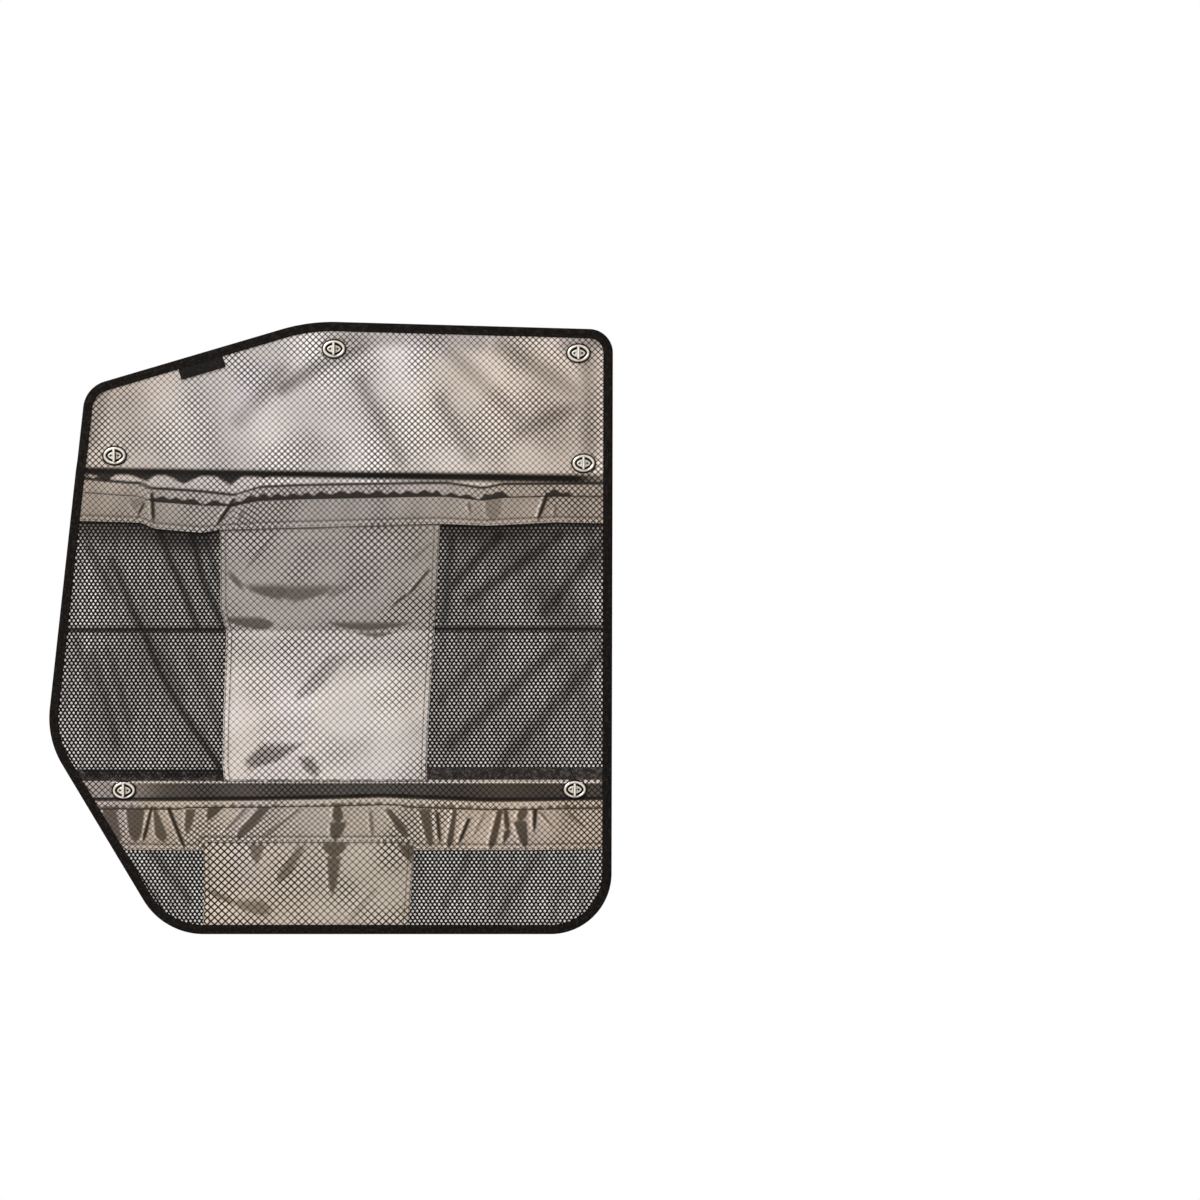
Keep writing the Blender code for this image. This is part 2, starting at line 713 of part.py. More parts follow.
def make_net(pocket, side, folds, cloth_edge):
    """A net beside the middle panel. Its inner edge is tucked behind that panel."""
    turn = -1 if side == "left" else 1
    rows, gap_rows = wall_rows(pocket)
    rows[0] = (pocket.net_base, 0)
    reach = HALF_WIDTH + BINDING_WIDTH - turn * pocket.seam_at(side, pocket.base)
    pitch = NET_GAP_WIDTH + NET_STRAND
    columns = [-SIDE_TUCK, NET_STRAND / 2]
    while columns[-1] < reach:
        columns += [columns[-1] + NET_GAP_WIDTH, columns[-1] + pitch]
    last = len(columns) - 1

    def spot(column, row):
        height, shift = row
        seam = pocket.seam_at(side, pocket.mouth - pocket.band if height is None else height)
        moved = shift if 0 < columns.index(column) < last else 0
        x = seam + turn * (column + moved)
        y = pocket.hem_at(x) + BAND_TUCK if height is None else height
        return x, y

    def place(column, row):
        x, y = spot(column, row)
        away = smooth(column / NET_STRAND) * smooth((pocket.hem_at(x) - y) / NET_STRAND)
        low = smooth((y - pocket.net_base - HEM_HEIGHT) / NET_STRAND)
        return x, y, pocket.wall(x, y) + CLOTH + folds_at(folds, x, y) * away * low

    def is_gap(column, row):
        if row not in gap_rows or column % 2 == 0:
            return False
        corners = [spot(columns[column + a], rows[row + b]) for a in (0, 1) for b in (0, 1)]
        return all(edge_distance(x, y) > BINDING_WIDTH + SEAM_GAP for x, y in corners)

    name = f"{pocket.name}_{side}_net"
    net = sheet(name, columns, rows, place, CLOTH, is_gap)
    boolean(net, cloth_edge, 'INTERSECT')
    net.data.materials.append(black_net(name))


def make_middle(pocket, folds, cloth_edge):
    """The cloth panel in the middle of a pocket. Its sides lie over the nets."""
    rows = wall_rows(pocket)[0]
    columns = spread(0, 1, 1 / MIDDLE_COLUMNS)

    def place(share, row):
        height = row[0]
        level = pocket.mouth - pocket.band if height is None else height
        x = mix(pocket.seam_at("left", level), pocket.seam_at("right", level), share)
        y = pocket.hem_at(x) + BAND_TUCK if height is None else height
        away = smooth((pocket.hem_at(x) - y) / NET_STRAND)
        return x, y, pocket.wall(x, y) + SEAM_LAYER + CLOTH + folds_at(folds, x, y) * away

    name = pocket.name + "_middle_panel"
    panel = sheet(name, columns, rows, place, CLOTH)
    boolean(panel, cloth_edge, 'INTERSECT')
    panel.data.materials.append(silver_cloth(name))


def make_base_hem(pocket, side, cloth_edge):
    """The black tape that hems a net at the pocket's base."""
    turn = -1 if side == "left" else 1
    rows = (pocket.net_base, pocket.net_base + HEM_HEIGHT)
    seam = max(turn * pocket.seam_at(side, row) for row in rows) + SEAM_GAP
    columns = spread(seam, HALF_WIDTH + BINDING_WIDTH, 2 * COLUMN_SPACING)

    def place(column, row):
        x = turn * column
        return x, row, pocket.wall(x, row) + SEAM_LAYER + CLOTH

    name = f"{pocket.name}_{side}_base_hem"
    hem = sheet(name, columns, rows, place, CLOTH)
    boolean(hem, cloth_edge, 'INTERSECT')
    hem.data.materials.append(black_cloth(name))


# Turn buttons

def oval(inset):
    """The eyelet's outline, moved in by inset."""
    long, short = EYELET_LENGTH / 2 - inset, EYELET_HEIGHT / 2 - inset
    turns = [2 * pi * k / OVAL_STEPS for k in range(OVAL_STEPS)]
    return [(long * cos(a), short * sin(a)) for a in turns]


def ring(name, path, section):
    """A closed section carried round a path: section gives (inset, height) points."""
    loops = [[(x, y, height) for x, y in path(inset)] for inset, height in section]
    return add_object(name, loft(name, list(zip(*loops)), True))


def cylinder(name, radius, back, front, x=0):
    """A round bar along the turning axis."""
    bm = bmesh.new()
    bmesh.ops.create_cone(
        bm, cap_ends=True, segments=ROUND_STEPS, radius1=radius, radius2=radius, depth=front - back,
    )
    bmesh.ops.translate(bm, verts=bm.verts, vec=(x, 0, (front + back) / 2))
    return add_object(name, to_mesh(name, bm))


def circle(radius):
    def path(inset):
        turns = [2 * pi * k / ROUND_STEPS for k in range(ROUND_STEPS)]
        return [((radius - inset) * cos(a), (radius - inset) * sin(a)) for a in turns]
    return path


EYELET_FACE = SEAM_GAP + EYELET_FLANGE
STUD_FACE = EYELET_FACE - STUD_RECESS
COLLAR_INSET = EYELET_BORDER - EYELET_COLLAR
RIVET_BACK = WALL_FACE + SEAM_GAP
SPRING_BACK = RIVET_BACK + RIVET_THICKNESS + SEAM_GAP
SPRING_FRONT = SPRING_BACK + SPRING_THICKNESS
STUD_POCKET = SPRING_FRONT + SEAM_GAP
SPINDLE_HOLE = SPINDLE_RADIUS + SPINDLE_CLEARANCE


def eyelet():
    """The pressed oval ring: its face, its collar through the cloth and its clinched back."""
    clinch = COLLAR_INSET - CLINCH_WIDTH
    section = (
        (0, SEAM_GAP), (EYELET_BEVEL, EYELET_FACE), (EYELET_BORDER - EYELET_BEVEL, EYELET_FACE),
        (EYELET_BORDER, SEAM_GAP + EYELET_FLANGE / 2), (EYELET_BORDER, CLINCH_BACK),
        (clinch, CLINCH_BACK), (clinch, CLINCH_BACK + CLINCH_THICKNESS),
        (COLLAR_INSET, CLINCH_BACK + CLINCH_THICKNESS), (COLLAR_INSET, SEAM_GAP),
    )
    return ring("eyelet", oval, section)


def eyelet_plate():
    """The flat oval plate behind the cloth, which the eyelet is clinched over."""
    front, hole = SLOT_BACK, COLLAR_INSET - SEAM_GAP
    back = front - PLATE_THICKNESS
    return ring("eyelet_plate", oval, ((SEAM_GAP, back), (hole, back), (hole, front), (SEAM_GAP, front)))


def stud_base():
    """The oval block that is screwed to the door, with its two screw holes and a seat for the spindle."""
    base = plate("stud_base", oval(EYELET_BORDER + STUD_CLEARANCE), WALL_FACE, STUD_FACE)
    beyond = EYELET_FLANGE
    cuts = [
        cylinder("spindle_cut", SPINDLE_HOLE, WALL_FACE - beyond, STUD_FACE + beyond),
        cylinder("rivet_cut", RIVET_RADIUS + SPINDLE_CLEARANCE, WALL_FACE - beyond, STUD_POCKET),
    ]
    for x in (-SCREW_SPACING / 2, SCREW_SPACING / 2):
        cuts.append(cylinder("screw_cut", SCREW_HOLE_RADIUS, WALL_FACE - beyond, STUD_FACE + beyond, x))
    for cut in cuts:
        boolean(base, as_cutter(cut), 'DIFFERENCE')
    return base


def spring_washer():
    """The washer that keeps the head from turning by itself."""
    inner = RIVET_RADIUS - SPINDLE_HOLE
    section = ((0, SPRING_BACK), (inner, SPRING_BACK), (inner, SPRING_FRONT), (0, SPRING_FRONT))
    return ring("spring_washer", circle(RIVET_RADIUS), section)


def turn_head():
    """The bar that turns crosswise to lock, with its hub, its spindle and the riveted end."""
    bar_back = EYELET_FACE + SEAM_GAP
    bar_front = bar_back + HEAD_HEIGHT
    bm = bmesh.new()
    bmesh.ops.create_cube(bm, size=1)
    bmesh.ops.scale(bm, verts=bm.verts, vec=(HEAD_WIDTH, HEAD_LENGTH, HEAD_HEIGHT))
    bmesh.ops.translate(bm, verts=bm.verts, vec=(0, 0, (bar_back + bar_front) / 2))
    head = add_object("turn_head", to_mesh("turn_head", bm))
    rounding = head.modifiers.new("rounding", 'BEVEL')
    rounding.width = HEAD_ROUND
    rounding.segments = 1
    hub_top = mix(bar_back, bar_front, 0.5)
    rivet_front = RIVET_BACK + RIVET_THICKNESS
    profile = (
        (0, hub_top), (HUB_RADIUS, hub_top), (HUB_RADIUS, STUD_FACE + SEAM_GAP),
        (SPINDLE_RADIUS, STUD_FACE + SEAM_GAP), (SPINDLE_RADIUS, rivet_front),
        (RIVET_RADIUS, rivet_front), (RIVET_RADIUS, RIVET_BACK), (0, RIVET_BACK),
    )
    mesh = bpy.data.meshes.new("spindle")
    mesh.from_pydata([(r, 0, z) for r, z in profile], [(k, k + 1) for k in range(len(profile) - 1)], [])
    spindle = add_object("spindle", mesh)
    turned = spindle.modifiers.new("turned", 'SCREW')
    turned.steps = ROUND_STEPS
    turned.render_steps = ROUND_STEPS
    turned.use_merge_vertices = True
    turned.merge_threshold = 0.00001
    boolean(head, as_cutter(spindle), 'UNION')
    return head


def settle(thing, material):
    """Take a piece's finished mesh, with its modifiers applied, and remove the piece it came from."""
    bpy.context.view_layer.update()
    graph = bpy.context.evaluated_depsgraph_get()
    mesh = bpy.data.meshes.new_from_object(thing.evaluated_get(graph))
    mesh.name = thing.name
    for modifier in thing.modifiers:
        if modifier.type == 'BOOLEAN':
            bpy.data.objects.remove(modifier.object)
    bpy.data.objects.remove(thing)
    mesh.shade_smooth()
    mesh.set_sharp_from_angle(angle=SHARP_ANGLE)
    mesh.materials.clear()
    mesh.materials.append(material)
    return mesh


def button_places():
    """The centre of each turn button."""
    fold_left, fold_right = crossings(FOLD_HEIGHT, 0)
    low = LOWER_MOUTH + POCKET_SPACING / 2
    low_left, low_right = crossings(low, 0)
    side_left, side_right = fold_left + LEFT_BUTTON_INSET, fold_right - RIGHT_BUTTON_INSET
    top = HALF_HEIGHT - TOP_BUTTON_FROM_TOP
    return {
        "top_middle": (TOP_MIDDLE_BUTTON_X, top),
        "top_right": (HALF_WIDTH - TOP_RIGHT_BUTTON_INSET, top - TOP_FALL / 2),
        "side_left": (side_left, fold_line(side_left) + SIDE_BUTTON_ABOVE_FOLD),
        "side_right": (side_right, fold_line(side_right) + SIDE_BUTTON_ABOVE_FOLD),
        "low_left": (low_left + LOW_LEFT_BUTTON_INSET, low),
        "low_right": (low_right - LOW_RIGHT_BUTTON_INSET, low + LOW_RIGHT_BUTTON_RISE),
    }


def make_buttons():
    shapes = {
        "eyelet": settle(eyelet(), nickel("eyelet")),
        "eyelet_plate": settle(eyelet_plate(), nickel("eyelet_plate")),
        "stud_base": settle(stud_base(), nickel("stud_base")),
        "spring_washer": settle(spring_washer(), nickel("spring_washer")),
        "turn_head": settle(turn_head(), nickel("turn_head")),
    }
    for place, (x, y) in button_places().items():
        for name, mesh in shapes.items():
            piece = add_object(f"{name}_{place}", mesh)
            piece.location = (x, y, 0)


def eyelet_holes():
    """Cutters for the holes that the eyelets' collars go through."""
    holes = []
    for place, (x, y) in button_places().items():
        hole = plate("hole_" + place, oval(COLLAR_INSET - SEAM_GAP), -2 * PANEL_THICKNESS, PANEL_THICKNESS)
        hole.location = (x, y, 0)
        holes.append(as_cutter(hole))
    return holes


def make_pouch():
    cloth_edge = as_cutter(plate("cloth_edge", outline(TAPE + SEAM_GAP), -POCKET_RISE, POCKET_RISE))
    inner = outline(BINDING_WIDTH + SEAM_GAP)
    binding_edge = as_cutter(plate("binding_edge", inner, -POCKET_RISE, POCKET_RISE))
    make_panel(cloth_edge, eyelet_holes())
    make_binding()
    make_label()
    upper = Pocket(
        "upper_pocket", UPPER_DEPTH, UPPER_BASE, UPPER_BASE + HEM_ABOVE_BASE, UPPER_BASE_RISE,
        UPPER_MOUTH, UPPER_BAND, UPPER_MOUTH_LINE, UPPER_HEM_LINE,
        {"left": (UPPER_SEAM_LEFT, 0), "right": (UPPER_SEAM_RIGHT, -UPPER_SEAM_TAPER)},
        MIDDLE_FOLD_HEIGHT,
    )
    lower = Pocket(
        "lower_pocket", LOWER_DEPTH, -HALF_HEIGHT, -HALF_HEIGHT, SEAM_GAP,
        LOWER_MOUTH, LOWER_BAND, LOWER_MOUTH_LINE, LOWER_HEM_LINE,
        {"left": (LOWER_SEAM_LEFT, 0), "right": (LOWER_SEAM_RIGHT, -LOWER_SEAM_TAPER)},
        None,
    )
    for pocket, pleats, folds in ((upper, UPPER_PLEATS, UPPER_FOLDS), (lower, LOWER_PLEATS, LOWER_FOLDS)):
        make_band(pocket, pleats, binding_edge)
        make_middle(pocket, folds, cloth_edge)
        for side in ("left", "right"):
            make_net(pocket, side, folds, cloth_edge)
    for side in ("left", "right"):
        make_base_hem(upper, side, cloth_edge)
    make_buttons()


make_pouch()
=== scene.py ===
# %% [markdown]
# # A storage pouch for a van's door
#
# The pouch is a flat panel of silver ripstop cloth, bound all round with black tape. Two pockets lie on it, each with
# a gathered mouth, a cloth panel in its middle and black net to both sides. Six oval turn buttons hold it on the door.
#
# We dress a frame that is already made: its solids carry the sizes, the joints and the collision. Here each soft
# solid gets a finer piece in its place, so the first step is to load the frame.

# %% Load the frame
import json
from contextlib import contextmanager
from math import atan2, ceil, cos, hypot, pi, radians, sin, tan

import bmesh
import bpy
import numpy as np
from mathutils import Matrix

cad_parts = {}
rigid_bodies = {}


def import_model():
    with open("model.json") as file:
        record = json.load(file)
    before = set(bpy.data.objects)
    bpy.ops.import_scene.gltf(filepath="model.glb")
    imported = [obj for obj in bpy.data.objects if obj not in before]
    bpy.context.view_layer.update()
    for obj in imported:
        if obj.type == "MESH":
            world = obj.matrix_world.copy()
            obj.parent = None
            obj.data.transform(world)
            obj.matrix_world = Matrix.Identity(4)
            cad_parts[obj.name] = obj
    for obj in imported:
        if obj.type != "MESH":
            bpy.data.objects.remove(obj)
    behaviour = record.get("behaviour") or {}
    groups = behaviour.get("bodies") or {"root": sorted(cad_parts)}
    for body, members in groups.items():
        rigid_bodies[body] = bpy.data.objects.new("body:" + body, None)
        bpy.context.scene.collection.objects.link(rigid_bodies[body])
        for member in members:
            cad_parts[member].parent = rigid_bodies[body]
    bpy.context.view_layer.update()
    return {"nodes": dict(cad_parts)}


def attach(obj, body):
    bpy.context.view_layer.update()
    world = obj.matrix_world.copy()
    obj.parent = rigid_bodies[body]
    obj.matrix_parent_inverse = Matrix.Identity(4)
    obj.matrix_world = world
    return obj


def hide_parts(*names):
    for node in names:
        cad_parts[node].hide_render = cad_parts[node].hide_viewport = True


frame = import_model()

# %% [markdown]
# ## The pouch's outline
#
# The panel is a polygon with six rounded corners. We keep the sharp corners with a radius each, and work out the
# edge from them. Moving the whole edge inwards by some distance gives the lines that the tape and the seams follow,
# which is why the edge is a function of that distance, and not a list of points.

# %% Corners and the edge that runs round them
PANEL_PLANE = 0.00595
CORNERS = (
    (-0.2463, 0.2410, 0.030),
    (-0.2848, -0.1103, 0.090),
    (-0.1675, -0.3060, 0.070),
    (0.2800, -0.3060, 0.061),
    (0.2815, 0.2985, 0.024),
    (-0.0224, 0.3070, 0.180),
)
TAPE_WIDTH = 0.0094


def edge_path(inset, spacing):
    """Points along the pouch's edge, moved in by inset, about spacing apart: the same count for every inset."""
    arcs = []
    for k, (x, z, radius) in enumerate(CORNERS):
        before, after = CORNERS[k - 1], CORNERS[(k + 1) % len(CORNERS)]
        arriving = atan2(z - before[1], x - before[0])
        leaving = atan2(after[1] - z, after[0] - x)
        turn = (leaving - arriving) % (2 * pi)
        back = radius * tan(turn / 2)
        middle = (x - cos(arriving) * back - sin(arriving) * radius, z - sin(arriving) * back + cos(arriving) * radius)
        steps = max(4, ceil(radius * turn / spacing))
        angles = arriving - pi / 2 + turn * np.arange(steps + 1) / steps
        arcs.append(np.stack([middle[0] + (radius - inset) * np.cos(angles),
                              middle[1] + (radius - inset) * np.sin(angles)], axis=1))
    path = []
    for k, arc in enumerate(arcs):
        following = arcs[(k + 1) % len(arcs)][0]
        run = hypot(*(following - arc[-1]))
        steps = max(1, round(run / spacing / 4) * 4)
        shares = np.arange(1, steps)[:, None] / steps
        path += [arc, arc[-1] + (following - arc[-1]) * shares]
    return np.concatenate(path)


EDGE = edge_path(0, 0.012)
print("edge:", len(EDGE), "points")

# %% [markdown]
# ## Where is a point on the pouch?
#
# Two questions come back for every piece of cloth: how far inside the edge does a point lie, and where does the edge
# cross a given height? The outline has no hollow corners, so the first answer is the smallest distance to any of its
# sides, and the second is read from its left chain and its right chain.

# %% Distance from the edge, and the edge at a height
def smooth(value):
    """Rise from 0 to 1 with level ends."""
    value = np.clip(value, 0, 1)
    return value * value * (3 - 2 * value)


def mix(start, end, share):
    return start + (end - start) * share


def line_at(away, fade, core=1.4):
    """1 on a line. It falls to 0 where the distance from the line, over fade, goes from core - 1 to core."""
    return smooth(core - np.abs(away) / fade)


def read_line(points, at):
    """Read a line of (place, value) points."""
    places, values = np.array(points).T
    return np.interp(at, places, values)


def edge_distance(x, z):
    """How far points lie inside the pouch's edge."""
    nearest = np.full(np.broadcast(x, z).shape, 10.0)
    for (x0, z0), (x1, z1) in zip(EDGE, np.roll(EDGE, -1, axis=0)):
        cross = (x1 - x0) * (z - z0) - (z1 - z0) * (x - x0)
        nearest = np.minimum(nearest, cross / hypot(x1 - x0, z1 - z0))
    return nearest


def sides_at(z, inset):
    """The edge's left and right at each height, moved in by inset."""
    path = edge_path(inset, 0.006)
    low, high = np.argmin(path[:, 1]), np.argmax(path[:, 1])
    turned = np.roll(path, -low, axis=0)
    top = (high - low) % len(path)
    right, left = turned[:top + 1], np.concatenate([turned[top:], turned[:1]])[::-1]
    return np.interp(z, left[:, 1], left[:, 0]), np.interp(z, right[:, 1], right[:, 0])


print("width at mid height:", round(float(np.subtract(*sides_at(0.0, 0)[::-1])), 4), "m")

# %% [markdown]
# ## Cloth from a grid
#
# Cloth is a thin, closed sheet. We give its front as a grid of points, and a Solidify modifier adds the thickness
# behind it, so a fold is only a change of the points. Each point also keeps its place on the flat cloth, in metres:
# the woven pattern is drawn from that, and so it follows the gathers and does not slide over them. The third number
# that it keeps is its painted light, about 1 or less: the shade of folds, creases, seams and overlaps, painted into
# the cloth's colour. Silver that lies behind a net has 2 added to that number, and the finish reads this as a mark.

# %% One way to make every piece of cloth
BEHIND_NET = 2.0


def keep_place_on_cloth(mesh, u, v, clean):
    """Store each point's place on the flat cloth, and its painted light and shade there."""
    places = mesh.attributes.new("cloth", 'FLOAT_VECTOR', 'POINT')
    places.data.foreach_set("vector", np.stack([u, v, clean], axis=-1).ravel().astype(np.float32))


def mesh_from(name, points, faces, u, v, clean=1.0):
    """A smooth mesh from points (x, out, z), where out is measured from the panel's front."""
    world = np.stack([points[0], PANEL_PLANE - points[1], points[2]], axis=-1).reshape(-1, 3)
    mesh = bpy.data.meshes.new(name)
    mesh.from_pydata(world.tolist(), [], faces.tolist())
    keep_place_on_cloth(mesh, np.ravel(u), np.ravel(v), np.ravel(clean + 0 * u))
    mesh.shade_smooth()
    piece = bpy.data.objects.new(name, mesh)
    bpy.context.scene.collection.objects.link(piece)
    return piece


def grid_faces(rows, columns, join_rows=False, join_columns=False):
    """The faces between a grid's points. Its last row or column may join its first."""
    number = np.arange(rows * columns).reshape(rows, columns)
    if join_columns:
        number = np.concatenate([number, number[:, :1]], axis=1)
    if join_rows:
        number = np.concatenate([number, number[:1]])
    return np.stack([number[:-1, :-1], number[:-1, 1:], number[1:, 1:], number[1:, :-1]], axis=-1).reshape(-1, 4)


def spread(heights, ends, share):
    """A grid of points: each height's row runs from its left end to its right end."""
    x = mix(ends[0][:, None], ends[1][:, None], share[None, :])
    return x, np.repeat(heights[:, None], share.size, axis=1)


@contextmanager
def edited(mesh):
    """Open a mesh for editing, and write it back at the end."""
    bm = bmesh.new()
    bm.from_mesh(mesh)
    yield bm
    bm.to_mesh(mesh)
    bm.free()


def thicken(piece, thickness):
    solid = piece.modifiers.new("cloth thickness", 'SOLIDIFY')
    solid.thickness = thickness
    solid.offset = -1


def fit(piece, finish, nodes=(), body="pouch"):
    """Give a piece its finish and the body that carries it, and let it stand for the frame's nodes."""
    piece.data.materials.append(finish)
    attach(piece, body)
    if nodes:
        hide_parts(*nodes)


def cloth(name, x, out, z, u, v, thickness, finish, nodes, clean=1.0):
    """A sheet of cloth that stands for the frame's nodes."""
    piece = mesh_from(name, (x, out, z), grid_faces(*x.shape), u, v, clean)
    thicken(piece, thickness)
    fit(piece, finish, nodes)
    return piece


print("a grid of 3 x 4 points has", len(grid_faces(3, 4)), "faces")

# %% [markdown]
# ## Sums on sockets
#
# A procedural finish is mostly arithmetic. A small class wraps a socket, so that `1 - mask` or `ridge * 0.3` adds the
# Math node it needs, and the finishes below read as formulas. Every other node comes from one method.

# %% A socket that can be used in sums
class Wire:
    """One socket of a finish. Sums on it add Math nodes."""

    def __init__(self, finish, socket):
        self.finish = finish
        self.socket = socket

    def math(self, operation, *others):
        return self.finish.node("ShaderNodeMath", {"operation": operation}, dict(enumerate((self, *others))))

    def __add__(self, other):
        return self.math('ADD', other)

    def __mul__(self, other):
        return self.math('MULTIPLY', other)

    def __sub__(self, other):
        return self.math('SUBTRACT', other)

    def __rsub__(self, other):
        return self.finish.node("ShaderNodeMath", {"operation": 'SUBTRACT'}, {0: other, 1: self})

    __radd__ = __add__
    __rmul__ = __mul__

    def step(self, low, high):
        """Rise from 0 at low to 1 at high, with level ends."""
        settings = {"interpolation_type": 'SMOOTHSTEP'}
        return self.finish.node("ShaderNodeMapRange", settings, {0: self, 1: low, 2: high, 3: 0.0, 4: 1.0})


print("sockets can be added, subtracted and multiplied")

# %% [markdown]
# ## A finish
#
# Each finish is one material with Blender's Principled shader. Numbers that are the same all over are set on the
# shader's own sockets. What varies over the cloth, such as colour and roughness, is built from nodes and fed in last.

# %% A finish built from sockets
# How much warmer the painted shade is than the lit cloth.
SHADE_YELLOW = 0.19


class Finish:
    """One material. Its shader's own numbers are set at once, and what varies is fed in later."""

    def __init__(self, name, **numbers):
        self.material = bpy.data.materials.new(name)
        self.material.use_nodes = True
        self.tree = self.material.node_tree
        self.shader = self.tree.nodes["Principled BSDF"]
        for key, value in numbers.items():
            self.shader.inputs[key.replace("_", " ")].default_value = value

    def node(self, kind, settings, links, out=0):
        """Add a node: its settings first, then its sockets' values or wires. It gives one output or several."""
        made = self.tree.nodes.new(kind)
        for key, value in settings.items():
            setattr(made, key, value)
        for key, value in links.items():
            if isinstance(value, Wire):
                self.tree.links.new(value.socket, made.inputs[key])
            else:
                made.inputs[key].default_value = value
        if isinstance(out, tuple):
            return [Wire(self, made.outputs[k]) for k in out]
        return Wire(self, made.outputs[out])

    def place_on_cloth(self):
        """The point's place on the flat cloth, along and across, and its painted light and shade."""
        spot = self.node("ShaderNodeAttribute", {"attribute_name": "cloth"}, {}, 1)
        return self.node("ShaderNodeSeparateXYZ", {}, {0: spot}, (0, 1, 2))

    def noise(self, scale, detail=2.0):
        spot = self.node("ShaderNodeTexCoord", {}, {}, 3)
        return self.node("ShaderNodeTexNoise", {}, {"Vector": spot, "Scale": scale, "Detail": detail})

    def colour(self, share, start, end):
        """Mix two colours, each written out or wired."""
        ends = [c if isinstance(c, Wire) else (*c, 1.0) for c in (start, end)]
        return self.node("ShaderNodeMix", {"data_type": 'RGBA'}, {0: share, 6: ends[0], 7: ends[1]}, 2)

    def tint(self, colour, strength, clean, brown):
        """Multiply a colour by a strength that carries painted light and shade, and brown it where the shade is
        painted.
        """
        # Painted shade is warmer: it loses some green and more blue.
        shade_warmth = (1 - clean).math('MAXIMUM', 0.0)
        shade_warmth = shade_warmth * shade_warmth * brown
        green, blue = strength * (1 - shade_warmth * SHADE_YELLOW), strength * (1 - shade_warmth * (2 * SHADE_YELLOW))
        grey = self.node("ShaderNodeCombineColor", {}, {0: strength, 1: green, 2: blue})
        settings = {"data_type": 'RGBA', "blend_type": 'MULTIPLY'}
        return self.node("ShaderNodeMix", settings, {0: 1.0, 6: colour, 7: grey}, 2)

    def relief(self, height, depth):
        """Turn a height between 0 and 1 into a bump of that depth in metres."""
        bump = self.node("ShaderNodeBump", {}, {"Height": height, "Distance": depth})
        self.tree.links.new(bump.socket, self.shader.inputs["Normal"])

    def feed(self, **wires):
        for key, wire in wires.items():
            self.tree.links.new(wire.socket, self.shader.inputs[key.replace("_", " ")])
        return self.material


def linear(red, green, blue):
    """A colour read off a screen, 0 to 255, as Blender's linear colour."""
    return tuple((v / 255 / 12.92) if v <= 10 else ((v / 255 + 0.055) / 1.055) ** 2.4 for v in (red, green, blue))


print("silver cell:", [round(v, 3) for v in linear(222, 217, 214)])

# %% [markdown]
# ## Silver ripstop
#
# Ripstop is light cloth with thick threads woven in as a grid, so that a tear stops at them. Here the grid stands on
# its corner: diamonds 6.2 mm wide and 6.0 mm high. Two sets of slanting lines come from the place on the cloth, each
# as the distance to the nearest whole number. The silver coating shines on the cells, is thin over the dark threads,
# and gives the darkest points where they cross. A little bump lifts the threads and crinkles the coating. The coating
# is yellower towards the pouch's sides. Each point's painted light and shade darkens the cloth, browns it in shade and
# can hide the grid in deep shade. Behind a net it is painted plain and bright, as painted light, so that the net's
# holes shine evenly.

# %% The ripstop finish
DIAMOND_WIDTH, DIAMOND_HEIGHT = 0.0062, 0.0060


